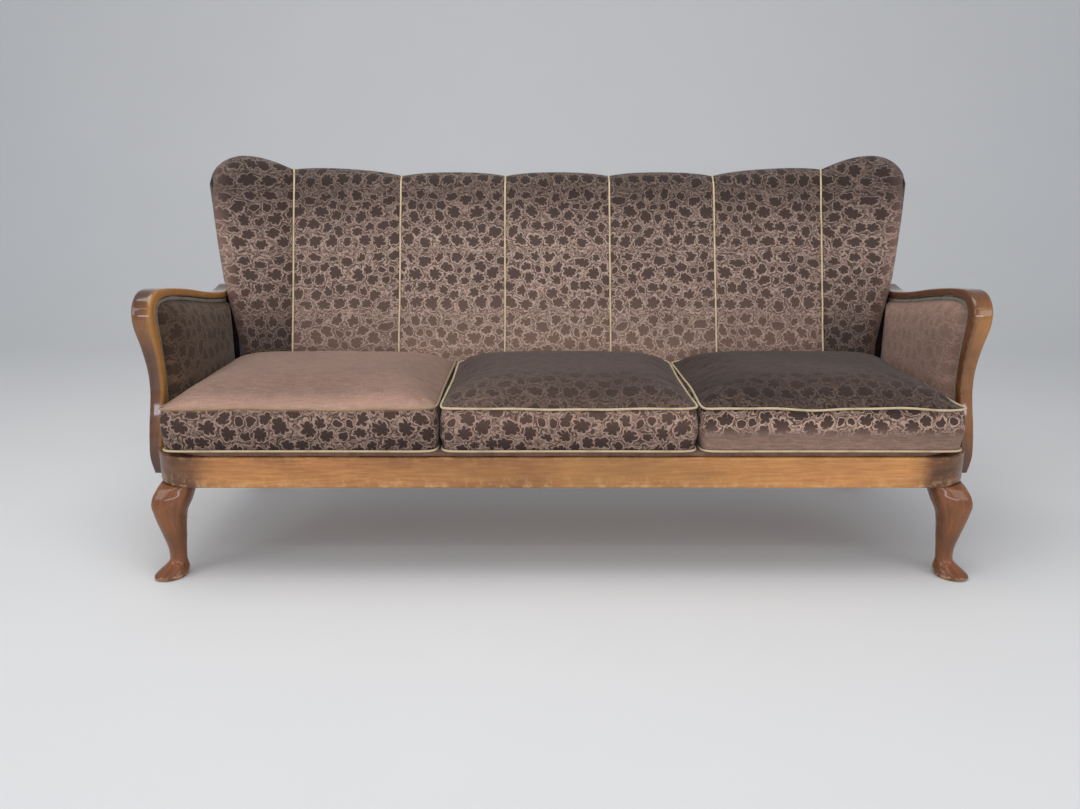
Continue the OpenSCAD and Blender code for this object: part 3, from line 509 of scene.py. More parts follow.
def raw_wood_finish(name, pale, deep):
    """Unpolished frame timber, seen only from below and behind, read by place."""
    f = Finish(name)
    place = f.place()
    grain = f.noise(f.stretched(place, 3, 55, 55), 3.0, 4.0, 0.6, 0.4)
    flecks = f.noise(f.stretched(place, 30, 300, 300), 2.0, 1.0).ramp(0.58, 0.68)
    tone = f.mix(pale, deep, grain.ramp(0.35, 0.7) * 0.7 + flecks * 0.2)
    return f.done(tone, 0.72, grain, 0.0005, 0.4)


def piping_finish(name, pale, deep):
    """Cord covered with a bias strip: slanting threads round it, soiled in places."""
    f = Finish(name)
    along = f.place("UV")
    u, v, _ = f.split(along)
    dirt, _, _ = f.tint()
    threads = (u * 2400.0 + v * 900.0).wave() * 0.5 + 0.5
    soil = f.noise(f.stretched(along, 9, 1, 1), 2.0, 3.0)
    tone = f.mix(pale, deep, soil.ramp(0.42, 0.72) * 0.5 + threads * 0.14)
    tone = f.mix(tone, linear((132, 100, 58)), dirt)
    height = threads * 0.4 + f.noise(along, 900.0, 1.0) * 0.5
    return f.done(tone, 0.75, height, 0.0005, 0.6, **{"Sheen Weight": 0.2})


def gimp_finish(name, pale, deep):
    """Braid: two rows of slanting stitches that meet along the middle."""
    f = Finish(name)
    u, v, _ = f.split(f.place("UV"))
    slant = ((u + abs(v - 0.0045) * 1.1) * 2200.0).wave() * 0.5 + 0.5
    soil = f.noise(f.place("UV"), 60.0, 3.0).ramp(0.4, 0.7)
    tone = f.mix(pale, deep, slant * 0.6 + soil * 0.4)
    return f.done(tone, 0.8, slant, 0.0008, 0.8, **{"Sheen Weight": 0.2})


def webbing_finish(name, pale, deep):
    """Jute webbing: coarse plain weave read along the strap."""
    f = Finish(name)
    u, v, _ = f.split(f.place("UV"))
    weft = (u * 1900.0).wave()
    warp = (v * 1500.0).wave()
    weave = (weft * warp) * 0.5 + 0.5
    slub = f.noise(f.place("UV"), 240.0, 2.0)
    tone = f.mix(pale, deep, weave * 0.5 + slub * 0.4)
    return f.done(tone, 0.9, weave + slub * 0.4, 0.0006, 0.8)


def metal_finish(name, shade):
    """Dull steel of bolts."""
    f = Finish(name)
    place = f.place()
    rub = f.noise(place, 220.0, 3.0)
    tone = f.mix(shade, linear((70, 66, 62)), rub.ramp(0.4, 0.7) * 0.6)
    return f.done(tone, 0.38 + rub * 0.2, rub, 0.0003, 0.3, **{"Metallic": 0.9})


_finishes = {}


def finish(name):
    """Each material is made once, from screen colours and numbers, some of them set in the panel."""
    if name in _finishes:
        return _finishes[name]
    c = bpy.context.scene.sofa_colours
    keys = ("velour_dark", "velour_ground", "velour_light", "piping", "rail_pale", "rail_mid")
    dark, ground, light, cord, pale, mid = (tuple(255 * v for v in getattr(c, key)) for key in keys)
    maker, *values = {
        "velour": (velour_finish, dark, ground, light),
        "cushion_velour": (velour_finish, (64, 49, 44), (122, 101, 90), (182, 155, 140)),
        "pad_velour": (velour_finish, (88, 69, 54), (126, 103, 84), (144, 120, 98)),
        "deck_cloth": (velour_finish, (96, 72, 60), (140, 110, 92), (160, 130, 110), 0.0),
        "rail_wood": (wood_finish, pale, mid, (112, 66, 38), 0.3, 0.35, 1.0, (236, 172, 96)),
        "leg_wood": (
            wood_finish, (164, 98, 48), (124, 72, 38), (58, 36, 28), 0.2, 0.6, 0.8, (158, 104, 46),
        ),
        "arm_wood": (
            wood_finish, (134, 76, 38), (98, 54, 28), (40, 25, 19), 0.16, 1.0, 1.0, (196, 138, 66),
        ),
        "frame_wood": (raw_wood_finish, (196, 160, 116), (142, 104, 68)),
        "back_leg_stain": (raw_wood_finish, (122, 70, 46), (66, 38, 30)),
        # Painted shade: near-black timber for the arm posts, so the gap between pad and wing reads as a
        # shadow
        "arm_post_stain": (raw_wood_finish, (58, 42, 34), (38, 27, 23)),
        "piping": (piping_finish, cord, (150, 124, 90)),
        "gimp": (gimp_finish, (150, 144, 124), (92, 88, 76)),
        "webbing": (webbing_finish, (176, 146, 104), (120, 94, 62)),
        "steel": (metal_finish, (150, 148, 144)),
    }[name]
    values = [linear(value) if isinstance(value, tuple) else value for value in values]
    _finishes[name] = maker(name, *values)
    return _finishes[name]


def paint(count, painted_light, figure, pink_and_sheen):
    """Three numbers for each point of a cloth piece: lightness, strength of the figure, pinkness."""
    return np.stack([np.broadcast_to(v, count).ravel() for v in (painted_light, figure, pink_and_sheen)], -1).astype(float)


# Seat frame


def rail_section(steps=5):
    """Section of a rail: outwards from the inner face, and up; outer edges softened."""
    t, height, edge = RAIL_T, RAIL_H, RAIL_EDGE
    a = quarter(steps, -math.pi / 2)
    low = np.stack([t - edge + edge * np.cos(a), edge + edge * np.sin(a)], -1)
    e = edge * 0.6
    a = quarter(steps)
    high = np.stack([t - e + e * np.cos(a), height - e + e * np.sin(a)], -1)
    side = np.stack([np.full(3, t), np.linspace(edge * 1.6, height - e * 1.6, 3)], -1)
    top = np.stack([np.linspace(t - 2 * e, 0.001, 3), np.full(3, height)], -1)
    inner = np.stack([np.zeros(3), np.linspace(height - 0.001, 0.001, 3)], -1)
    foot = np.array([[0.001, 0], [t / 2, 0], [t - 1.6 * edge, 0]])
    return np.concatenate([low, side, high, top, inner, foot])


def rail_path():
    """Middle line of the front rail's outer face from one side rail round to the other."""
    x = HALF_W - CORNER_R
    a = quarter(25)
    right = np.stack([x + CORNER_R * np.cos(a), CORNER_R - CORNER_R * np.sin(a)], -1)
    line = np.stack([np.linspace(x, -x, 60)[1:-1], np.zeros(58)], -1)
    return np.concatenate([right, line, right[::-1] * [-1, 1]])


def make_front_rail():
    """Rail: point = path + (section's reach - thickness) * outward, height from the section.

    Stained darker towards the rounded corners, with a paler worn lower edge.
    """
    path = rail_path()
    d = unit(np.gradient(path, axis=0))
    outward = np.stack([-d[:, 1], d[:, 0]], -1)
    outward = np.where((np.sum(outward * (path - [0, 0.3]), -1) < 0)[:, None], -outward, outward)
    section = rail_section()
    grid = np.zeros((len(path), len(section), 3))
    grid[..., :2] = path[:, None] + (section[None, :, :1] - RAIL_T) * outward[:, None]
    grid[..., 2] = LEG_H + section[None, :, 1]
    run = arc_length(path)
    round_it = arc_length(np.concatenate([section, section[:1]]))
    x, high = grid[..., 0], (grid[..., 2] - LEG_H) / RAIL_H
    corner = smooth_step((np.abs(x) - 0.758) / 0.045)
    patches = within(ripple(x * 7, high * 1.4, 13) - 0.25)
    middle = np.interp(x, [-0.8, -0.55, -0.15, 0.2, 0.5, 0.8], [0.06, 0.12, 0.52, 0.46, 0.02, 0.0])
    stain_and_shade = corner * (0.95 + ripple(x * 9, high * 2, 3) * 0.10) + (0.30 * patches + middle) * (1 - corner)
    # Paler worn lower edge; the paler top edge is a painted highlight
    wear_and_highlight = near_to(high, 0.07, 0.09) * 0.9 + within((high - 0.9) / 0.1) * 0.4
    warm = within(0.5 + ripple(x * 4, high * 2, 5) * 0.4 + 0.25 * np.sign(x)) * (1 - corner)
    solid(
        "front_rail_wood", grid, "rail_wood", "front_rail",
        uv=lambda i, j: (run[i], round_it[j]), tint=np.stack([within(stain_and_shade), wear_and_highlight, warm], -1),
    )


def make_side_rails():
    """The straight side rails behind the rounded corners, darker towards the back."""
    section = rail_section()
    y = np.linspace(CORNER_R, SIDE_BACK, 30)
    round_it = arc_length(np.concatenate([section, section[:1]]))
    grid = np.zeros((len(y), len(section), 3))
    grid[..., 0] = HALF_W - RAIL_T + section[None, :, 0]
    grid[..., 1] = y[:, None]
    grid[..., 2] = LEG_H + section[None, :, 1]
    for side, name in SIDES:
        tint = np.zeros(grid.shape)
        tint[..., 0] = 0.62 + 0.2 * ripple(grid[..., 1] * 8, grid[..., 2] * 12, 7 + side)
        tint[..., 1] = within(1 - (grid[..., 2] - LEG_H) / 0.008) * 0.6
        solid(
            f"side_rail_wood_{name}", mirrored(grid, side), "rail_wood", f"side_rail_{name}",
            uv=lambda i, j: (y[i], round_it[j]), tint=tint,
        )


# Legs: heights, set-in, half width, stretch and roundness of the sections, floor to rail

LEG_Z = [0, 0.012, 0.04, 0.085, 0.13, 0.17, 0.22, 0.31, 0.41, 0.51, 0.6, 0.69, 0.79, 0.87, 0.94, 1]
LEG_SET = [0.72, 0.68, 0.71, 0.85, 0.95, 1, 1.02, 1.02, 0.99, 0.95, 0.92, 0.93, 1.02, 1.13, 1.25, 1.3]
LEG_HALF = [
    0.0264, 0.0297, 0.0310, 0.0277, 0.0218, 0.0185, 0.0185, 0.0198, 0.0235, 0.0268,
    0.0300, 0.0324, 0.0380, 0.0400, 0.0404, 0.0400,
]
LEG_STRETCH = [1.16, 1.18, 1.2, 1.15, 1.09, 1.03, 1, 1, 1, 1, 1, 1.03, 1.05, 1.03, 1, 1]
LEG_ROUND = [2, 2, 2, 2, 2, 2, 2, 2, 1.9, 1.75, 1.6, 1.5, 1.42, 1.38, 1.35, 1.35]
SHOULDER, SHOULDER_Z = 0.017, 0.88


def make_front_legs():
    """Cabriole legs: superellipse sections whose long axis points out over the corner.

    r = half width * 2^(1/p) / sqrt 2 and q = (|cos a|^p + |sin a|^p)^(-1/p); the point is
    r * (q * stretch * cos a + (stretch - 1) / 2, q * sin a), turned by 45 degrees. The
    shoulder draws the outer side of the top in under the rail on a quarter circle.
    """
    rows = smooth(np.stack([LEG_Z, LEG_SET, LEG_HALF, LEG_STRETCH, LEG_ROUND], -1), 5)
    z, set_in, half, stretch, p = (rows[:, i : i + 1] for i in range(5))
    set_in = set_in * 0.036
    a = (np.arange(64) * 2 * math.pi / 64)[None]
    q = (np.abs(np.cos(a)) ** p + np.abs(np.sin(a)) ** p) ** (-1 / p)
    root = math.sqrt(2)
    r = half * 2 ** (1 / p) / root
    u = r * stretch * q * np.cos(a) + (stretch - 1) * r / 2
    v = r * q * np.sin(a)
    u = u - SHOULDER * round_off((z - SHOULDER_Z) / (1 - SHOULDER_Z)) * within(np.cos(a))
    x, y = HALF_W - set_in + (u + v) / root, set_in + (v - u) / root
    grid = np.stack([x, y, np.broadcast_to(z * LEG_H, u.shape)], -1)
    height = grid[..., 2] / LEG_H
    foot = within(1 - height / 0.16)
    shin = near_to(height, 0.45, 0.3)
    stain_and_shade = within(0.12 + 0.65 * foot + 0.50 * shin + 0.25 * ripple(a * 1.2 + 0 * u, height * 9, 11))
    # Painted highlight on the outer side of the knee under the rail; the pale rim of the foot is worn
    painted_knee_highlight = within(np.cos(a) - 0.8) * within(height - 0.7)
    wear_and_highlight = near_to(height, 0.03, 0.03) * 0.9 + painted_knee_highlight * 4
    warm = near_to(height, 0.55, 0.35) * 0.45
    run = arc_length(np.stack([rows[:, 1] * 0.05, rows[:, 0] * LEG_H], -1))
    for side, name in SIDES:
        solid(
            f"front_leg_wood_{name}", mirrored(grid, side), "leg_wood", f"front_leg_{name}",
            uv=lambda i, j: (run[i], j * 0.0036), tint=np.stack([stain_and_shade, wear_and_highlight, warm], -1),
        )


# Arms

ARM_PATH = [
    (0.975, 0.862), (0.86, 0.838), (0.72, 0.856), (0.582, 0.886), (0.43, 0.926), (0.296, 0.956),
    (0.18, 0.974), (0.09, 0.967), (0.042, 0.91), (0.035, 0.83), (0.052, 0.71), (0.066, 0.57),
    (0.064, 0.44), (0.046, 0.29), (0.036, 0.18), (0.034, 0.09), (0.036, 0),
]
ARM_T = [1, 0.95, 0.93, 0.93, 0.95, 0.95, 1, 1.4, 1.85, 1.85, 1.5, 1.3, 1.25, 1.35, 1.4, 1.2, 0.55]
ARM_IN = [-1, -1, -1, -1, -1, -1, -1, -1, -1, -1, -1.05, -1.1, -0.95, -0.45, 0, 0, 0]
ARM_OUT = [1, 1, 1, 1, 1, 1, 1, 1, 1, 0.97, 0.8, 0.66, 0.66, 0.78, 0.86, 0.92, 0.8]
ARM_FRONT, ARM_L, ARM_RISE = 0.094, 0.560, 0.412
ARM_TIP_Z = LEG_H - 0.0025
PANEL_X = HALF_W + 0.014
PAD_OUT = PANEL_X - SOFT_GAP
PAD_BACK = 0.5882
PAD_DEPTH = 0.054
GIMP_W = 0.009


def arm_rows(steps):
    """Stations of the bent wood: y, z, thickness, inner and outer edge."""
    y, z = (np.array(ARM_PATH) * [ARM_L, ARM_RISE] + [ARM_FRONT, ARM_TIP_Z]).T
    inner = np.array(ARM_IN) * 0.009 + SOFT_GAP
    return smooth(np.stack([y, z, np.array(ARM_T) * 0.020, inner, np.array(ARM_OUT) * 0.036], -1), steps)


def arm_normals(rows):
    """Across the wood, pointing out of the loop: the path's direction turned a quarter."""
    d = unit(np.gradient(rows[:, :2], axis=0))
    return np.stack([d[:, 1], -d[:, 0]], -1)


def arm_edge(rows, away):
    """Inner edge of the loop, a distance away from the wood."""
    return rows[:, :2] - arm_normals(rows) * (rows[:, 2:3] / 2 + away)


# Staining and painted shade along each arm's face, from its back end over the scroll down to the tip; the
# darkness over the left arm's top is a painted dark reflection
ARM_STAIN_AND_SHADE_AT = [0, 0.3, 0.56, 0.63, 0.70, 0.78, 0.86, 0.93, 1]
ARM_STAIN_AND_SHADE = {
    -1: [0.80, 0.90, 1.00, 0.40, 0.85, 0.85, 0.50, 0.70, 0.95],
    1: [0.60, 0.50, 0.30, 0.00, 0.00, 0.02, 0.10, 0.30, 0.70],
}
ARM_WARM = [0, 0, 0.1, 0.5, 0.25, 0.2, 0.3, 0.1, 0]
# Strength of the face's warmth; stain and warmth of the wood's inner strip
ARM_LOOK = {-1: (0.8, 0.0, 1.25), 1: (2.0, 0.62, 0.25)}


def make_arms():
    """Bent wood: a rounded rectangle carried along the S of the arm.

    Section point = (middle + half width * c, path - normal * thickness / 2 * s) with c, s on
    a superellipse of high powers, |c|^6.5 + |s|^4 = 1, so that faces stay nearly flat.
    """
    rows = arm_rows(6)
    n = arm_normals(rows)
    a = (np.arange(40) + 0.5) * 2 * math.pi / 40
    c = np.sign(np.cos(a)) * np.abs(np.cos(a)) ** (2 / 6.5)
    s = np.sign(np.sin(a)) * np.abs(np.sin(a)) ** (2 / 4.0)
    middle, wide = HALF_W + (rows[:, 3] + rows[:, 4]) / 2, (rows[:, 4] - rows[:, 3]) / 2
    grid = np.zeros((len(rows), len(a), 3))
    grid[..., 0] = middle[:, None] + wide[:, None] * c
    grid[..., 1:] = rows[:, None, :2] - n[:, None] * s[:, None] * rows[:, None, 2:3] / 2
    run = arc_length(rows[:, :2])
    share = (run / run[-1])[:, None] + 0 * grid[..., 0]
    strip = within(within(-c) * 1.6 - 0.5)
    edges = within(np.abs(c) + np.abs(s) - 1.55) * 1.6
    wear_and_highlight = within(edges * (0.5 + 0.5 * ripple(share * 30, share, 31)))
    for side, name in SIDES:
        glow, strip_stain, strip_warm = ARM_LOOK[side]
        # Stains and painted shade along the face, from the table above
        stain_and_shade = np.interp(share, ARM_STAIN_AND_SHADE_AT, ARM_STAIN_AND_SHADE[side])
        stain_and_shade = stain_and_shade + 0.16 * ripple(share * 22, grid[..., 0] * 30, 21 + side)
        warm = within(np.interp(share, ARM_STAIN_AND_SHADE_AT, ARM_WARM) * glow)
        tint = [within(blend(stain_and_shade, strip_stain, strip)), wear_and_highlight, blend(warm, strip_warm, strip)]
        solid(
            f"arm_wood_{name}", mirrored(grid, side), "arm_wood", f"arm_{name}",
            uv=lambda i, j: (run[i], j * 0.0032), tint=np.stack(tint, -1),
        )


def loop_outline(back_low, back_top, away, count=160):
    """Outline inside the loop: along the wood, then along the rail and up the back, evenly spaced."""
    edge = arm_edge(arm_rows(6), away)
    wood = edge[(edge[:, 0] < back_top - away) & (edge[:, 1] > RAIL_TOP + 4 * away)]
    behind = edge[edge[:, 0] >= back_top - away]
    top = min(behind[-1, 1], wood[0, 1]) if len(behind) else wood[0, 1]
    foot = RAIL_TOP + away
    rest = [[wood[-1, 0], foot], [back_low, foot], [back_top, top]]
    corners = np.concatenate([rest[-1:], wood, rest])
    run = arc_length(corners)
    return read_along(corners, run, np.linspace(0, run[-1], count, endpoint=False))


def swelling(outline, middle, depths, insets, steps=5):
    """Rings of a pad: the outline drawn in towards a middle point, and its depth there."""
    rows = np.maximum(smooth(np.stack([depths, insets], -1), steps), 0)
    return outline[None] + (middle - outline)[None] * rows[:, 1, None, None], rows[:, 0]


def wing_side_x(y, z):
    """Outer side of the right wing: from its edge seam back along the panel's normal."""
    edge = seam_plan(7, z)
    normal = panel_normal(6, z)
    behind = np.maximum(0, y - edge[..., 1] + CROWN / 2)
    side = edge[..., 0] + behind * normal[..., 0] / normal[..., 1] + GAP
    return np.where(y > edge[..., 1] - CROWN, side, 0)


def make_arm_pads():
    """Padded inner side of each arm: a flat border for the gimp, then a soft swelling.

    Point = outline moved towards the middle by the inset; depth towards the sitter, and
    behind the wing's front edge no further than the wing's outer side.
    """
    flat, depth = swelling(
        loop_outline(PAD_BACK, PAD_BACK, SOFT_GAP, 200), np.array([0.341, 0.424]),
        [0.0, 0.15, 0.29, 0.31, 0.40, 0.62, 0.84, 0.95, 1.0, 1.0],
        [0.0, 0.0, 0.0, 0.055, 0.085, 0.13, 0.27, 0.45, 0.68, 0.996],
    )
    depth = depth[:, None]
    y, z = flat[..., 0], flat[..., 1]
    x = PAD_OUT - depth * PAD_DEPTH + 0.0012 * ripple(y * 60, z * 60, 41) * within(depth - 0.4)
    x = np.minimum(PAD_OUT, np.maximum(x, wing_side_x(y, z)))
    grid = np.concatenate([x[..., None], flat], -1)
    # Painted shade on the left pad and painted light on the right: the second number is the painted lightness
    looks = {
        -1: ("pad_velour", 0.30 + 0.14 * ripple(y * 14, z * 14, 42), 0.75, 0.0),
        1: ("velour", 0.88 + 0.08 * ripple(y * 10, z * 10, 44), 0.35, 0.75),
    }
    for side, name in SIDES:
        cloth, painted_light, figure, pink_and_sheen = looks[side]
        obj = solid(
            f"arm_pad_cloth_{name}", mirrored(grid, side), cloth, f"arm_pad_{name}", slot="velour",
            fill=0.8, tint=paint(x.shape, within(painted_light), figure, pink_and_sheen),
        )
        project_cloth(obj, 1, 2)


def project_cloth(obj, a, b):
    """Cloth coordinates straight from two axes of the piece's own place."""
    corner = read_all(obj.data.loops, "vertex_index", kind=np.int32)[:, 0]
    flat = read_all(obj.data.vertices, "co", 3)[corner][:, [a, b]]
    obj.data.uv_layers[0].data.foreach_set("uv", flat.ravel())


def make_arm_panels():
    """Covered panel on the outside of each arm, slightly filled."""
    outline = loop_outline(SIDE_BACK, 0.6395, 2 * SOFT_GAP)
    middle = np.array([0.36, 0.43])
    flat, depth = swelling(outline, middle, [0.0, 0.6, 0.9, 1.0, 1.0], [0.0, 0.0, 0.02, 0.08, 0.96])
    x = np.broadcast_to((PANEL_X + 0.0004 + depth * 0.0112)[:, None, None], flat.shape[:2] + (1,))
    grid = np.concatenate([x, flat], -1)
    for side, name in SIDES:
        obj = solid(
            f"arm_panel_cloth_{name}", mirrored(grid, side), "velour", f"arm_panel_{name}", fill=0.5,
            tint=paint(grid.shape[:2], 0.5, 0.9, 0.1),
        )
        project_cloth(obj, 1, 2)


def make_gimps():
    """Braid along the pad's border: a flat ribbon whose two rows of stitches stand up.

    Height over the cloth = thickness * (0.55 + 0.45 * |sin| of the slanting stitch).
    """
    rows = arm_rows(40)
    keep = (rows[:, 0] < PAD_BACK - GIMP_W) & (rows[:, 1] > RAIL_TOP + GIMP_W)
    inner, outer = (arm_edge(rows, 2 * SOFT_GAP + reach)[keep] for reach in (0, GIMP_W))
    run = arc_length(inner)
    steps = int(run[-1] / 0.0016)
    t = np.linspace(0, run[-1], steps)
    inner, outer = read_along(inner, run, t), read_along(outer, run, t)
    across = np.linspace(0, 1, 9)
    stitch = 0.55 + 0.45 * np.abs(np.sin(t[:, None] * 520 + np.abs(across - 0.5) * 5))
    face = PAD_OUT - 0.3 * PAD_DEPTH - SOFT_GAP
    top = np.zeros((steps, 9, 3))
    top[..., 0] = face - 0.0026 * np.sin(across * math.pi) ** 0.35 * stitch
    top[..., 1:] = inner[:, None] + (outer - inner)[:, None] * across[None, :, None]
    back = top[:, ::-1].copy()
    back[..., 0] = face
    grid = np.concatenate([top, back[:, 1:-1]], 1)
    width = np.concatenate([across, across[::-1][1:-1], [0]]) * GIMP_W
    for side, name in SIDES:
        solid(
            f"arm_gimp_braid_{name}", mirrored(grid, side), "gimp", f"arm_gimp_{name}",
            uv=lambda i, j: (t[i], width[j]), ends="strip",
        )


# Back: seams are numbered 0 to 7, 0 and 7 being the outer edges of the wings

BACK_H = 0.578
TOP_Z = RAIL_TOP + BACK_H
LEAN = 0.449
FOOT_Y = 0.4789
CHANNEL_T = 0.046
CROWN = 0.017
TOP_ROLL = 0.036
LEAN_RUN = 1.0962
WEB_DEPTH = CHANNEL_T + GAP
FRAME_DEPTH = WEB_DEPTH + 0.002 + SOFT_GAP
WRAP_DEPTH = FRAME_DEPTH + 0.025 + GAP
COVER_DEPTH = WRAP_DEPTH + GAP
COVER_ROWS = 30
CHANNEL_FOOT = RAIL_TOP + 0.0023
WING_RISE = 0.037
WING_PEAK = 0.6
CHANNEL_LOW, CHANNEL_HIGH = 0.284, 0.290
WING_LOW, WING_HIGH = 0.118, 0.186
WING_CROWN = [0, 0.55, 0.88, 1, 1, 0.96, 0.86, 0.72, 0.5]
PIPING_R = 0.0025
STRAP_W = 0.060
FACE_ROWS, ROLL_ROWS, BACK_ROWS = 46, 14, 67


def seam_plan(i, z):
    """Seam i at height z: x from the channel widths, y from the lean and the turn of the sides."""
    t = (z - RAIL_TOP) / BACK_H
    w = blend(CHANNEL_LOW, CHANNEL_HIGH, t)
    wing = blend(WING_LOW, WING_HIGH, t)
    x = -2.5 * w - wing if i == 0 else 2.5 * w + wing if i == 7 else (i - 3.5) * w
    forward = 0.127 * (1.465 * t - 0.465 * t * t) if i in (0, 7) else 0.030 * t if i in (1, 6) else 0 * t
    return np.stack([x, FOOT_Y + LEAN * (z - RAIL_TOP) - forward], -1)


def panel_normal(k, z):
    d = unit(seam_plan(k + 1, z) - seam_plan(k, z))
    return np.stack([-d[..., 1], d[..., 0]], -1)


def seam_normal(i, z):
    return unit(panel_normal(max(i - 1, 0), z) + panel_normal(min(i, 6), z))


def back_point(k, s, n, z):
    """Point of panel k at share s of its width, depth n behind the seams, height z."""
    s, n, z = np.broadcast_arrays(s, n, z)
    p = blend(seam_plan(k, z), seam_plan(k + 1, z), s[..., None])
    d = unit(blend(seam_normal(k, z), seam_normal(k + 1, z), s[..., None]))
    return np.concatenate([p + n[..., None] * d, z[..., None]], -1)


def seam_top(i):
    return TOP_Z + (0.018 if i < 2 or i > 5 else 0)


def valley(s):
    """Cross-section of a filled channel: steep at its seams, nearly flat in the middle."""
    return within(1 - np.abs(2 * s - 1) ** 2.3) ** 0.8


def wing_top(w):
    """Outline over a wing: a quarter sine up to its peak, then a quarter circle down."""
    rise = np.sin(math.pi / 2 * np.minimum(w / WING_PEAK, 1))
    return seam_top(0) + WING_RISE * (rise - 2 * round_off((w - WING_PEAK) / (1 - WING_PEAK)))


def frame_top(k, s):
    """Height of the wooden frame behind panel k at share s of its width."""
    if k in (0, 6):
        return wing_top(s if k == 6 else 1 - s) - TOP_ROLL
    return blend(seam_top(k), seam_top(k + 1), s) - TOP_ROLL


def upright_section(crown, top, step_z, in_depth, out_depth, near):
    """Section of a channel from the seat over the top and down inside, for each station.

    Face at depth near - crown; a quarter ellipse over the top; a small roll to the back;
    down to the step over the frame, in, and down to the seat.
    """
    n = [np.broadcast_to((near - crown)[:, None], (len(top), FACE_ROWS))]
    z = [blend(CHANNEL_FOOT, (top - TOP_ROLL)[:, None], np.linspace(0, 1, FACE_ROWS))]
    a = quarter(ROLL_ROWS + 1)[1:]
    n.append((TOP_ROLL + near)[:, None] - (TOP_ROLL + crown)[:, None] * np.cos(a))
    z.append((top - TOP_ROLL)[:, None] + TOP_ROLL * np.sin(a))
    a = quarter(8)[1:]
    n.append((out_depth - 0.012)[:, None] + 0.012 * np.sin(a))
    z.append(top[:, None] - 0.002 - 0.010 * (1 - np.cos(a)))
    n.append(np.broadcast_to(out_depth[:, None], (len(top), 5)))
    z.append(blend((top - 0.012)[:, None], step_z[:, None], np.linspace(0, 1, 6)[1:]))
    n.append(np.broadcast_to(in_depth[:, None], (len(top), BACK_ROWS)))
    z.append(blend(CHANNEL_FOOT, step_z[:, None], np.linspace(1, 0, BACK_ROWS)))
    return np.concatenate(n, 1), np.concatenate(z, 1)


def channel_tint(k, x, z):
    """Pile of the back: dark over the top roll, paler and pinker towards the seat."""
    t = (z - 0.40) / 0.48
    roll = within((t - 0.60) / 0.30) ** 1.3
    low = within(1 - t / 0.42)
    # Painted light: the middle channels lighter than the outer ones
    lean = 0.10 * np.cos((k - 3) * 0.8)
    painted_light = 0.66 + lean * (1 - roll) - 0.50 * roll + (0.14 + 2 * lean) * low
    painted_light = painted_light + 0.05 * ripple(x * 9, z * 9, 60 + k)
    figure = within(1.0 - 0.36 * low)
    pink_and_sheen = 0.30 * low
    if k in (0, 6):
        # Painted sheen along the wing's rolled outer edge; painted shadow below the arms' height
        edge = within(1 - (0.915 - 0.16 * within(0.80 - z) - np.abs(x)) / 0.045)
        shadow = within((0.55 - z) / 0.10)
        painted_light = painted_light - 0.02 * roll + 0.26 * edge * (1 - roll) - 0.36 * shadow - 0.16 * low
        pink_and_sheen = np.maximum(0.2 * low * (1 - shadow), edge * 0.8)
    return paint(x.shape, within(painted_light), figure, pink_and_sheen)


def puckers(z, share, edge, pitch, seed):
    """Gathers beside a seam, edge metres from it: deepest some 8 mm away, then dying out."""
    gather = np.exp(-edge / 0.018) * (1 - np.exp(-edge / 0.006))
    return 0.0022 * gather * np.sin(z * 2 * math.pi / pitch + 2 * ripple(z * 30, share * 3, seed))


def in_front(z):
    """1 on the rows of a section that lie on its face and its top roll, 0 behind."""
    return np.arange(z.shape[1]) < FACE_ROWS + ROLL_ROWS


def cover_panel(name, node, k, grid, across):
    """Cloth of a channel or wing, read by across and by its length up the lean and over the roll."""
    z = grid[..., 2]
    over = FACE_ROWS + ROLL_ROWS
    run = (z - RAIL_TOP) * LEAN_RUN
    run[:, FACE_ROWS:over] = run[:, FACE_ROWS - 1 : FACE_ROWS] + np.linspace(0, 0.055, ROLL_ROWS + 1)[1:]
    run[:, over:] = run[:, over - 1 : over] + 0.01
    solid(
        name, grid, "velour", node, fill=0.85, ends="strip", tint=channel_tint(k, grid[..., 0], z),
        uv=lambda i, j: (across[i, j % z.shape[1]], run[i, j % z.shape[1]]),
    )


def make_channels():
    """Five upright channels; gathers run out from the seams into the filling."""
    gap = SOFT_GAP / CHANNEL_LOW
    s = blend(gap, 1 - gap, 0.5 - 0.5 * np.cos(np.linspace(0, math.pi, 31)))
    ones, filling = np.ones(len(s)), valley(s)
    for k in range(1, 6):
        top = blend(seam_top(k), seam_top(k + 1), s) + 0.011 * filling
        depths = CHANNEL_T * ones, WRAP_DEPTH * ones, 0 * ones
        n, z = upright_section(CROWN * filling, top, frame_top(k, s) + GAP, *depths)
        gathers = puckers(z, s[:, None], np.minimum(s, 1 - s)[:, None] * CHANNEL_LOW, 0.031, 70 + k)
        uneven = 0.0014 * ripple(s[:, None] * 5, z * 16, 80 + k) * filling[:, None]
        grid = back_point(k, s[:, None], n - in_front(z) * (gathers + uneven), z)
        cover_panel(f"channel_cloth_{k}", f"back_channel_{k}", k, grid, grid[..., 0])


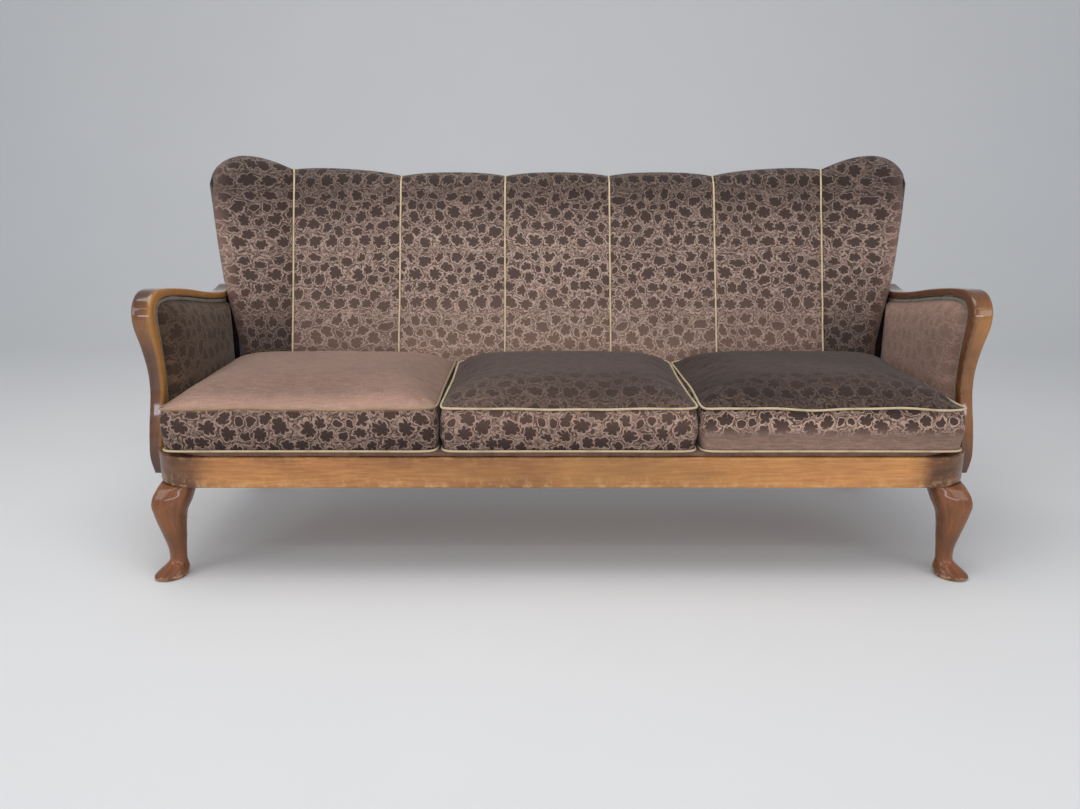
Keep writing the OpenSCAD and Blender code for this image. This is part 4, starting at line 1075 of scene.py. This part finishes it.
def make_wings():
    """The two wings: a last channel whose front edge rolls round the frame.

    Beyond share 0.75 the face falls back on a quarter ellipse, beyond 0.93 the back comes forward.
    """
    flat = blend(SOFT_GAP / WING_LOW, 0.70, np.linspace(0, 1, 22))
    w = np.concatenate([flat, 1 - 0.30 * np.cos(np.linspace(0.12, 1, 16) * math.pi / 2)])
    t = within((w - 0.75) / 0.25)
    out = WRAP_DEPTH - 0.034 * round_off((w - 0.93) / 0.07)
    crown = CROWN * table(WING_CROWN, w) * (1 - t**3)
    top = wing_top(w)
    inside = np.where(w < 0.925, CHANNEL_T, out)
    near = np.minimum(0.038 * round_off(t), out - 0.002)
    n, z = upright_section(crown, top, top - TOP_ROLL + GAP, inside, out, near)
    w = w[:, None]
    for side, name in SIDES:
        k = 0 if side < 0 else 6
        gathers = puckers(z, w, w * 0.15, 0.033, 90 + k)
        grid = back_point(k, 1 - w if side < 0 else w, n - in_front(z) * gathers, z)
        bend = np.interp(z, [0.46, 0.60, 0.79, 0.87], [-0.002, 0.0075, 0.0075, 0.0015])
        grid[..., 0] += side * w**3 * bend
        across = np.broadcast_to(side * (0.7100 + w * 0.16), z.shape)
        cover_panel(f"wing_cloth_{name}", f"wing_{name}", k, grid, across)


def make_back_piping():
    """A cord in the valley of each seam, over the top and a little way down behind."""
    lift = PIPING_R + 2 * SOFT_GAP
    a = quarter(26)[1:]
    cords = []
    for i in range(1, 7):
        low = seam_top(i) - TOP_ROLL
        n = np.concatenate([np.full(120, -lift), TOP_ROLL - (TOP_ROLL + lift) * np.cos(a)])
        face = blend(CHANNEL_FOOT, low, np.linspace(0, 1, 120))
        z = np.concatenate([face, low + (TOP_ROLL + lift) * np.sin(a)])
        k = min(i, 5)
        path = back_point(k, float(i - k), n, z)
        path[:, 0] += 0.0007 * ripple(z * 22, 0 * z, 100 + i)
        cords.append((cord_grid(path, PIPING_R, [1, 0, 0]), arc_length(path), CORD_ROUND))
    obj = bundle("back_piping_cord", cords)
    finish_piece(obj, finish("piping"), "frame", "back_piping")


def panel_stations(steps):
    """Shares of each channel's width, from the first channel to the last."""
    return [(k, s) for k in range(1, 6) for s in np.linspace(0, 1, steps)[:-1]] + [(5, 1.0)]


def make_outer_cover():
    """Cloth stretched over the back of the frame, from one wing's edge to the other.

    A sheet of the panels' depth lines, with its folded upper edge lying on the filling.
    """
    wing = np.linspace(0.04, 0.96, 14)
    stations = [(0, 1 - w) for w in wing[::-1]] + panel_stations(9) + [(6, w) for w in wing]
    rows = []
    for k, s in stations:
        top = frame_top(k, s) + 0.024
        z = blend(RAIL_TOP + SOFT_GAP, top, np.linspace(0, 1, COVER_ROWS))
        hem = 0.0012 * np.exp(-((top - z) / 0.010) ** 2)
        outer = back_point(k, s, COVER_DEPTH + 0.0017 + hem, z)
        rows.append(np.concatenate([back_point(k, s, COVER_DEPTH - 0.0004, z), outer[::-1]]))
    grid = np.array(rows)
    tall = (grid[..., 2] - RAIL_TOP) * LEAN_RUN
    obj = solid(
        "outer_cover_cloth", grid, "velour", "back_outer_cover", ends="strip",
        uv=lambda i, j: (grid[i, j % (2 * COVER_ROWS), 0], tall[i, j % (2 * COVER_ROWS)]),
        tint=paint(grid.shape[:2], 0.45, 0.9, 0.05),
    )


# Seat

DECK_LOW = RAIL_TOP + 0.002
DECK_SET = 0.006
DECK_HALF, DECK_BACK = 0.8635, 0.4569
DECK_ROLL = [
    (0.9, 0.0), (0.02, 0.0), (0.004, 0.15), (0.0, 0.5), (0.004, 0.85), (0.02, 0.97), (0.06, 1.0), (0.9, 1.0),
]
CUSHION_LOW = 0.3007
BOXING_H = 0.096
CUSHION_CROWN = 0.040
CUSHION_D = 0.4899
CUSHION_OUT = 0.005
FRONT_REACH = 0.009
CORNER_REACH, REACH_END = 0.0095, 0.046
CUSHION_SIDE = {"left": -1, "middle": 0, "right": 1}
CUSHION_SIDES = {"left": (-0.8585, -0.2656), "middle": (-0.2644, 0.2924), "right": (0.2936, 0.8585)}
EDGE_INSET = 0.0053
CUSHION_STEPS = 62, 52, 11
BACK_SLOPE = 0.33
CLOTH_FRAMES = 20
CLOTH_SETTINGS = {
    "quality": 5,
    "mass": 0.3,
    "tension_stiffness": 12,
    "compression_stiffness": 12,
    "bending_stiffness": 0.8,
    "use_pressure": True,
    "uniform_pressure_force": 4.0,
    "shrink_min": -0.015,
    "vertex_group_mass": "sewn",
}


def make_deck():
    """Thin padded platform: its front edge rolls over behind the rail's face.

    Rings = outline drawn towards the middle by the first column of DECK_ROLL, a quarter as
    far across as back, at a height given by the second column.
    """
    r = CORNER_R - DECK_SET
    a = quarter(14, math.pi)
    left = np.stack([-DECK_HALF + r + r * np.cos(a), DECK_SET + r + r * np.sin(a)], -1)
    front = np.stack([np.linspace(-DECK_HALF + r, DECK_HALF - r, 90)[1:-1], np.full(88, DECK_SET)], -1)
    back = np.stack([np.linspace(DECK_HALF, -DECK_HALF, 90), np.full(90, DECK_BACK)], -1)
    side = np.stack([np.full(20, DECK_HALF), np.linspace(CORNER_R, DECK_BACK, 22)[1:-1]], -1)
    outline = np.concatenate([left, front, left[::-1] * [-1, 1], side, back, side[::-1] * [-1, 1]])
    inset, high = smooth(DECK_ROLL, 3).T
    drawn_in = np.clip(inset, 0, 0.95)[:, None, None] * [0.25, 1]
    flat = outline[None] + (np.array([0, 0.23]) - outline)[None] * drawn_in
    z = np.broadcast_to((DECK_LOW + 0.0104 * within(high))[:, None, None], flat.shape[:2] + (1,))
    obj = solid(
        "deck_cloth_pad", np.concatenate([flat, z], -1), "deck_cloth", "seat_deck", fill=0.4,
        tint=paint(flat.shape[:2], 0.55, 0.0, 0.15), ends="strip",
    )
    project_cloth(obj, 0, 1)


def make_seat_webbing():
    """Jute straps over the rails: twelve across the depth and three along, woven over and under."""
    across = np.array([-0.5, -0.17, 0.17, 0.5]) * STRAP_W

    def strap(path, side):
        low = path[:, None] + across[:, None] * np.array(side)
        grid = np.concatenate([low, (low + [0, 0, 0.0008])[:, ::-1]], 1)
        return grid, arc_length(path), there_and_back(across)

    x_half = HALF_W - CORNER_R
    long_y = [blend(0.05, FOOT_Y, i / 4) for i in (1, 2, 3)]
    straps = []
    y = np.linspace(0.0094, 0.4915, 60)
    for i in range(12):
        signs = [1 if (i + n) % 2 else -1 for n in range(len(long_y))]
        weave = sum(np.exp(-(((y - c) / 0.05) ** 2)) * sign for sign, c in zip(signs, long_y))
        x = np.full(60, blend(-1, 1, (i + 0.5) / 12) * x_half)
        path = np.stack([x, y, RAIL_TOP + 0.0006 + 0.0005 * np.clip(weave, -1, 1)], -1)
        straps.append(strap(path, [1, 0, 0]))
    x = np.linspace(-0.886, 0.886, 240)
    for n, c in enumerate(long_y):
        weave = np.cos((x / x_half + 1) * 6 * math.pi + math.pi / 2) * (1 if n % 2 else -1)
        path = np.stack([x, np.full(240, c), RAIL_TOP + 0.0006 - 0.0005 * weave], -1)
        straps.append(strap(path, [0, 1, 0]))
    obj = bundle("seat_webbing_straps", straps)
    finish_piece(obj, finish("webbing"), "frame", "seat_webbing")


def make_back_webbing():
    """Three jute straps across the back frame, each following the panels."""
    v = np.linspace(-0.5, 0.5, 5) * STRAP_W
    straps = []
    for share in (0.36, 0.56, 0.76):
        z = RAIL_TOP + share * BACK_H + v
        rows = []
        for k, s in panel_stations(7):
            inner, outer = (back_point(k, s, WEB_DEPTH + depth, z) for depth in (SOFT_GAP, 0.0017))
            rows.append(np.concatenate([inner, outer[::-1]]))
        grid = np.array(rows)
        straps.append((grid, arc_length(grid[:, 0]), there_and_back(v)))
    obj = bundle("back_webbing_straps", straps)
    finish_piece(obj, finish("webbing"), "frame", "back_webbing")


def cushion_place(which, a, b, z, inset):
    """Point of a cushion's plan: a and b go from -1 to 1 across and back.

    The square is rounded to |a|^20 + |b|^20 = 1 and its sides pull in between the corners.
    """
    x0, x1 = CUSHION_SIDES[which]
    x0, x1 = x0 + inset, x1 - inset
    y0 = -CUSHION_OUT + inset
    y1 = cushion_back(z) - inset
    biggest = np.maximum(np.maximum(np.abs(a), np.abs(b)), 1e-6)
    k = ((np.abs(a) / biggest) ** 20 + (np.abs(b) / biggest) ** 20) ** (1 / 20)
    a, b = a / k, b / k
    side_pull = 0.004 * np.cos(b * math.pi / 2) * np.abs(a) ** 3
    end_pull = np.where(b < 0, 0.002, 0.004) * np.cos(a * math.pi / 2) * np.abs(b) ** 3
    x = (x0 + x1) / 2 + a * ((x1 - x0) / 2 - side_pull)
    y = (y0 + y1) / 2 + b * ((y1 - y0) / 2 - end_pull)
    return x + corner_reach(which, a, y), y


def cushion_back(z):
    """Where the cushions end at height z, following the lean of the back."""
    return CUSHION_D - CUSHION_OUT - BACK_SLOPE * (CUSHION_LOW + BOXING_H - z)


def corner_reach(which, a, y):
    """How far a cushion's outer side stands out ahead of the arm pad, as a smooth step along y."""
    out = CUSHION_SIDE[which]
    return out * CORNER_REACH * smooth_step((REACH_END - y) / REACH_END) * within(a * out) ** 4


SEAM_WAVES = {"left": (0.0016, 5.0, 0.2), "middle": (0.0012, 4.2, 1.4), "right": (0.0022, 6.0, 2.3)}


def seam_wave(which, a, b):
    """Small rise and fall of the piping along its seam."""
    high, turns, start = SEAM_WAVES[which]
    return high * np.sin(turns * a + 3.1 * b + start) + 0.4 * high * np.sin(13 * a - 7 * b)


def around(nx, ny):
    """Steps (a, b) once round the square -1 to 1, without repeating the first."""
    s, t = (
        -np.cos(np.linspace(0, math.pi, n + 1)) * 0.25 + np.linspace(-1, 1, n + 1) * 0.75 for n in (nx, ny)
    )
    a = np.concatenate([s[:-1], np.ones(ny), s[::-1][:-1], -np.ones(ny)])
    b = np.concatenate([-np.ones(nx), t[:-1], np.ones(nx), t[::-1][:-1]])
    return a, b, s, t


def make_cushion(which, body):
    """Loose box cushion: two panels and a boxing joined at pinned seams, swollen by cloth simulation.

    Panel height = seam + 0.8 * crown * (1 - e^(-dx / 28 mm)) * (1 - e^(-dy / 28 mm)), with dx, dy
    the distances to the nearest sides; the boxing stands out as 1 - |2h - 1|^2.2 between seams.
    """
    nx, ny, rows = CUSHION_STEPS
    a, b, s, t = around(nx, ny)
    z0, z1 = CUSHION_LOW + PIPING_R, CUSHION_LOW + BOXING_H
    ga, gb = np.meshgrid(s, t, indexing="ij")
    x0, x1 = CUSHION_SIDES[which]
    dx = (1 - np.abs(ga)) * (x1 - x0) / 2
    dy = (1 - np.abs(gb)) * CUSHION_D / 2
    hump = (1 - np.exp(-dx / 0.028)) * (1 - np.exp(-dy / 0.028))
    px, py = cushion_place(which, ga, gb, z1, EDGE_INSET)
    pz = z1 + CUSHION_CROWN * 0.80 * hump + seam_wave(which, ga, gb) * (1 - hump)
    top = np.stack([px, py, pz], -1)
    px, py = cushion_place(which, ga, gb, z0, EDGE_INSET)
    low = np.stack([px, py, z0 - (PIPING_R - 0.0004) * within(hump * 3)], -1)
    verts = [top.reshape(-1, 3), low.reshape(-1, 3)]
    m = (nx + 1) * (ny + 1)
    along, across, far = np.arange(nx) * (ny + 1), np.arange(ny), nx * (ny + 1)
    edge = np.concatenate([along, far + across, far + ny - along, ny - across])
    h = np.linspace(0, 1, rows + 1)[1:-1]
    box = []
    for share in h:
        z = blend(z0, z1, share) + seam_wave(which, a, b) * share
        out = 1 - abs(2 * share - 1) ** 2.2
        px, py = cushion_place(which, a, b, blend(z0, z1, share), EDGE_INSET * (1 - out))
        box.append(np.stack([px, py, z], -1))
    box = np.array(box)
    verts.append(box.reshape(-1, 3))
    panel, _ = grid_faces(nx + 1, ny + 1)
    faces = [panel[:, ::-1], panel + m]
    flat_uv = (top[..., :2] + [0, 0.05]).reshape(-1, 2)
    corners = [flat_uv[order].reshape(-1, 2) for order in (panel[:, ::-1], panel)]
    ring = np.concatenate([[m + edge], 2 * m + np.arange(box.size // 3).reshape(len(h), -1), [edge]])
    i, j = np.meshgrid(np.arange(len(ring) - 1), np.arange(len(edge)), indexing="ij")
    k = (j + 1) % len(edge)
    strip = np.stack([ring[i, j], ring[i + 1, j], ring[i + 1, k], ring[i, k]], -1).reshape(-1, 4)
    middle = box[len(box) // 2]
    run = arc_length(np.concatenate([middle, middle[:1]])) + x0
    tall = np.linspace(0, BOXING_H, len(ring))
    strip_uv = np.stack([np.stack([run[j + (c > 1)], tall[i + (0 < c < 3)]], -1) for c in range(4)], 2)
    corners.append(strip_uv.reshape(-1, 2) + [0, 0.30])
    faces.append(strip)
    verts = np.concatenate(verts)
    tint = cushion_tint(which, verts, m)
    faces, corners = list(np.concatenate(faces)), np.concatenate(corners)
    obj = new_piece(f"cushion_cloth_{which}", verts, faces, corners, tint)
    seam = np.isin(np.arange(len(verts)), np.concatenate([edge, m + edge]))
    ends = read_all(obj.data.edges, "vertices", 2, np.int32)
    crease = obj.data.attributes.new("crease_edge", "FLOAT", "EDGE")
    crease.data.foreach_set("value", seam[ends].all(1).astype(np.float32))
    pinned = np.concatenate([edge, m + edge, m + np.arange(m)])
    swell(obj, pinned, 0.020, which)
    smoothing = obj.modifiers.new("finer", "SUBSURF")
    smoothing.levels = smoothing.render_levels = 1
    finish_piece(obj, finish("cushion_velour"), body, f"seat_cushion_{which}")
    make_cushion_cords(which, body, z0, z1)


def make_cushion_cords(which, body, *heights):
    """Piping along the lower and the upper seam of a cushion."""
    a, b, _, _ = around(150, 120)
    for level, z in enumerate(heights):
        px, py = cushion_place(which, a, b, z, EDGE_INSET - PIPING_R - 2 * SOFT_GAP)
        path = np.stack([px, py, z + level * seam_wave(which, a, b)], -1)
        grid = cord_grid(path, PIPING_R, [0, 0, 1], loop=True)
        run = np.append(arc_length(path), arc_length(path)[-1] + 0.004)
        dirt = 0.75 if which == "left" and level else 0.12
        solid(
            f"cushion_cord_{which}_{level}", grid, "piping", f"cushion_piping_{which}", body,
            loop_u=True, tint=np.full(grid.shape, dirt), uv=lambda i, j: (run[i], CORD_ROUND[j]),
        )


def cushion_tint(which, verts, m):
    """Pile of a cushion: each top lies another way, and each front shows the figure differently."""
    x, y, z = verts.T
    top = (np.arange(len(verts)) < m) * 1.0
    front = within((0.03 - y) / 0.03) * (1 - top)
    high = within((z - CUSHION_LOW) / BOXING_H)
    soft = ripple(x * 11, y * 11 + z * 14, 120 + len(which))
    ahead = within((0.14 - y) / 0.14) * top
    lip = within((0.05 - y) / 0.05)
    # Painted light: lightness set per top and per front, lighter or darker with height on the fronts
    on_top, on_sides = {
        "left": (
            (0.86 + 0.50 * lip + 0.05 * soft, 0.08, 0.55 + 0.4 * lip),
            (0.28 + 0.30 * high * front + 0.05 * soft, 1.0, 0.20 * high),
        ),
        "middle": (
            (0.07 + 0.12 * ahead + 0.07 * soft, 0.15 + 0.4 * ahead, 0.10),
            (0.36 + 0.36 * high * front + 0.05 * soft, 1.0, 0.40 * high),
        ),
        "right": (
            (-0.03 + 0.02 * ahead + 0.06 * soft, 0.15 + 0.6 * ahead, 0.12),
            (1.42 + 0.08 * soft - 0.92 * high, np.clip((high - 0.40) / 0.2, 0.05, 1.0), 0.35 * (1 - high)),
        ),
    }[which]
    rows = [np.where(top > 0, upper, lower) for upper, lower in zip(on_top, on_sides)]
    return np.stack([np.clip(v, low, 1.5) for low, v in zip((-0.1, 0, 0), rows)], -1)


def swell(obj, pinned, cap, which):
    """Cloth simulation with pressure inside; sewn seams stay, and no point moves further than cap.

    The result keeps within the cushion's sides, bulges forward by FRONT_REACH at most and
    stays ahead of the back.
    """
    scene = bpy.context.scene
    group = obj.vertex_groups.new(name="sewn")
    group.add([int(i) for i in pinned], 1.0, "REPLACE")
    before = read_all(obj.data.vertices, "co", 3)
    cloth = obj.modifiers.new("filling", "CLOTH")
    for key, value in CLOTH_SETTINGS.items():
        setattr(cloth.settings, key, value)
    cloth.settings.effector_weights.gravity = 0.0
    cloth.collision_settings.use_collision = False
    cloth.collision_settings.use_self_collision = False
    cloth.point_cache.frame_start = 1
    cloth.point_cache.frame_end = CLOTH_FRAMES
    for number in range(1, CLOTH_FRAMES + 1):
        scene.frame_set(number)
    graph = bpy.context.evaluated_depsgraph_get()
    move = read_all(obj.evaluated_get(graph).to_mesh().vertices, "co", 3) - before
    obj.evaluated_get(graph).to_mesh_clear()
    obj.modifiers.remove(cloth)
    scene.frame_set(1)
    far = np.linalg.norm(move, axis=1, keepdims=True)
    result = before + move * np.minimum(1, cap / np.maximum(far, 1e-9))
    x0, x1 = CUSHION_SIDES[which]
    ahead = np.abs(corner_reach(which, float(CUSHION_SIDE[which]), result[:, 1] + ORIGIN_Y))
    low = x0 - 0.0001 - ahead * (which == "left")
    high = x1 + 0.0001 + ahead * (which == "right")
    result[:, 0] = np.clip(result[:, 0], low, high)
    over = np.maximum(0, -CUSHION_OUT - ORIGIN_Y - result[:, 1])
    result[:, 1] += over - FRONT_REACH * (1 - np.exp(-over / FRONT_REACH))
    result[:, 1] = np.minimum(result[:, 1], cushion_back(result[:, 2]) - ORIGIN_Y)
    obj.data.vertices.foreach_set("co", result.astype(np.float32).ravel())
    obj.vertex_groups.remove(group)
    obj.data.update()


# CAD nodes that keep their own shape


def dress_nodes():
    """Hidden timber, back legs, arm posts and bolts keep the packed shape and get their finishes."""
    timber = ["back_rail", "cross_rail", "corner_blocks", "back_top_rail", "back_lower_rail", "back_stiles"]
    groups = {
        "frame_wood": [*timber, *both("back_post"), *both("wing_frame")],
        "steel": ["leg_bolts", "arm_bolts"],
        "back_leg_stain": both("back_leg"),
        # Painted shade in the gap between arm pad and wing
        "arm_post_stain": both("arm_post"),
    }
    for name, nodes in groups.items():
        for node in nodes:
            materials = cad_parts[node].data.materials
            materials.clear()
            materials.append(finish(name))


# Stage: each lamp's name, place, target, size, power in watts and colour

LAMPS = (
    ("ceiling_panel", (-0.4, -0.6, 3.0), (0, 0.1, 0.4), (3.2, 1.6), 45, (1.0, 0.99, 0.97)),
    ("window_strip", (0, -2.0, 2.1), (0, -0.2, 0.5), (4.4, 0.14), 5, (0.90, 0.92, 1.0)),
    ("low_window", (0, -4.6, 1.0), (0, 0, 0.45), (6.0, 0.34), 52, (0.82, 0.83, 1.0)),
    ("window_left", (-3.2, -2.4, 1.9), (0, 0, 0.45), (1.8, 1.8), 24, (0.93, 0.96, 1.0)),
    ("fill_right", (3.0, -2.8, 1.6), (0, 0, 0.4), (2.0, 1.6), 20, (1.0, 0.98, 0.96)),
)
# The photograph's camera: focal length over picture width, place in the rail frame, tilt
CAMERA_ZOOM, CAMERA_AT, CAMERA_TILT = 880 / 1080, (-0.048, -1.795, 0.891), 0.2635


def make_stage():
    """Pale floor that curves up into a backdrop, soft lamps and the photograph's camera."""
    scene = bpy.context.scene
    props = scene.sofa_studio
    a = quarter(14)[1:]
    bend, radius, top = 2.2, 1.6, 5
    y = np.concatenate([np.linspace(-4.5, bend, 12), bend + radius * np.sin(a), np.full(6, bend + radius)])
    z = np.concatenate([np.zeros(12), radius - radius * np.cos(a), np.linspace(radius, top, 7)[1:]])
    x = np.linspace(-7, 7, 8)
    gx, gy = np.meshgrid(x, y, indexing="ij")
    grid = np.stack([gx, gy, np.broadcast_to(z, gx.shape)], -1)
    quads, _ = grid_faces(len(x), len(y))
    mesh = bpy.data.meshes.new("studio_floor")
    mesh.from_pydata((grid.reshape(-1, 3)).tolist(), [], quads.tolist())
    mesh.polygons.foreach_set("use_smooth", [True] * len(quads))
    mesh.update()
    floor = add_object("studio_floor", mesh)
    f = Finish("studio_paper")
    paper = f.noise(f.place(), 3.0, 2.0)
    pale, deep = ((*(level * v for v in props.floor_colour), 1) for level in (1, 0.94))
    mesh.materials.append(f.done(f.mix(pale, deep, paper * 0.5), 0.85))

    world = bpy.data.worlds.new("studio_air")
    scene.world = world
    world.use_nodes = True
    world.node_tree.nodes["Background"].inputs[0].default_value = (0.80, 0.86, 0.95, 1)
    world.node_tree.nodes["Background"].inputs[1].default_value = props.air

    for name, place, target, size, power, colour in LAMPS:
        data = bpy.data.lights.new(name, "AREA")
        data.shape = "RECTANGLE"
        data.size, data.size_y = size
        data.energy = power * props.lamp_level
        data.color = colour
        obj = add_object(name, data)
        obj.rotation_euler = (Vector(target) - Vector(place)).to_track_quat("-Z", "Y").to_euler()
        obj.location = place

    camera = bpy.data.cameras.new("photo_camera")
    camera.sensor_width = 36.0
    camera.sensor_fit = "HORIZONTAL"
    camera.lens = CAMERA_ZOOM * 36.0
    obj = add_object("photo_camera", camera)
    obj.location = (CAMERA_AT[0], CAMERA_AT[1] - ORIGIN_Y, CAMERA_AT[2])
    obj.rotation_euler = (math.pi / 2 - CAMERA_TILT, 0, 0)
    scene.camera = obj
    scene.view_settings.view_transform = "Standard"


# Add-on


def colour(name, text, screen):
    default = tuple(v / 255 for v in screen)
    return FloatVectorProperty(
        name=name, description=text, default=default, size=3, min=0, max=1, subtype="COLOR_GAMMA",
    )


class SofaColours(bpy.types.PropertyGroup):
    """Colours of the upholstery and the show-wood."""

    velour_dark: colour("Velour figure", "Dark leaves and buds of the damask", (80, 64, 58))
    velour_ground: colour("Velour ground", "Pile between the figures", (116, 97, 88))
    velour_light: colour("Velour outline", "Light outline round the figures", (172, 150, 138))
    piping: colour("Piping", "Cord in the seams", (214, 192, 154))
    rail_pale: colour("Rail, pale", "Pale grain of the seat rail", (206, 142, 84))
    rail_mid: colour("Rail, middle", "Middle tone of the seat rail", (172, 112, 64))


class SofaStudio(bpy.types.PropertyGroup):
    """Floor and light."""

    floor_colour: FloatVectorProperty(
        name="Floor", description="Colour of the floor and backdrop", default=(0.80, 0.79, 0.77),
        size=3, min=0, max=1, subtype="COLOR",
    )
    air: FloatProperty(name="Air", description="Light from all round", default=0.45, min=0, max=2)
    lamp_level: FloatProperty(name="Lamps", description="Strength of the lamps", default=1.0, min=0, max=4)


def operator(identity, label, text, action):
    """One operator of the add-on: its execute makes one group of pieces."""

    def execute(self, context):
        action()
        return {"FINISHED"}

    body = {"bl_idname": identity, "bl_label": label, "__doc__": text, "execute": execute}
    body["bl_options"] = {"REGISTER", "UNDO"}
    return type("SOFA_OT_" + identity.split(".")[1], (bpy.types.Operator,), body)


def make_rails():
    make_front_rail()
    make_side_rails()


def make_arm_covers():
    make_arm_pads()
    make_arm_panels()
    make_gimps()


def make_back():
    make_channels()
    make_wings()
    make_back_piping()
    make_back_webbing()
    make_outer_cover()


def make_seat():
    make_deck()
    make_seat_webbing()
    for which in ("left", "middle", "right"):
        make_cushion(which, f"cushion_{which}")


OPERATORS = [
    operator("sofa.rails", "Seat rails", "Makes the rounded front rail and the side rails", make_rails),
    operator("sofa.legs", "Front legs", "Makes the two cabriole legs", make_front_legs),
    operator("sofa.arms", "Arms", "Makes the bent show-wood arms", make_arms),
    operator("sofa.arm_upholstery", "Arm covers", "Makes the arms' pads, panels and braid", make_arm_covers),
    operator("sofa.back", "Back", "Makes the channels, wings, piping and outer cover", make_back),
    operator("sofa.seat", "Seat", "Makes the deck, the webbing and the three loose cushions", make_seat),
    operator("sofa.timber", "Hidden timber", "Gives the packed timber and bolts their finishes", dress_nodes),
    operator("sofa.stage", "Stage", "Makes the floor, the lamps and the camera", make_stage),
]


class SOFA_PT_panel(bpy.types.Panel):
    """Lists the sofa's colours, its studio and its pieces."""

    bl_idname = "SOFA_PT_panel"
    bl_label = "Cabriole Sofa"
    bl_space_type = "VIEW_3D"
    bl_region_type = "UI"
    bl_category = "Sofa"

    def draw(self, context):
        for group in (context.scene.sofa_colours, context.scene.sofa_studio):
            for key in group.__annotations__:
                self.layout.prop(group, key)
        for each in OPERATORS:
            self.layout.operator(each.bl_idname)


CLASSES = [SofaColours, SofaStudio, *OPERATORS, SOFA_PT_panel]


def register():
    for each in CLASSES:
        bpy.utils.register_class(each)
    bpy.types.Scene.sofa_colours = PointerProperty(type=SofaColours)
    bpy.types.Scene.sofa_studio = PointerProperty(type=SofaStudio)


def unregister():
    del bpy.types.Scene.sofa_studio
    del bpy.types.Scene.sofa_colours
    for each in reversed(CLASSES):
        bpy.utils.unregister_class(each)


def main():
    register()
    for each in OPERATORS:
        group, name = each.bl_idname.split(".")
        getattr(getattr(bpy.ops, group), name)()


if __name__ == "__main__":
    main()
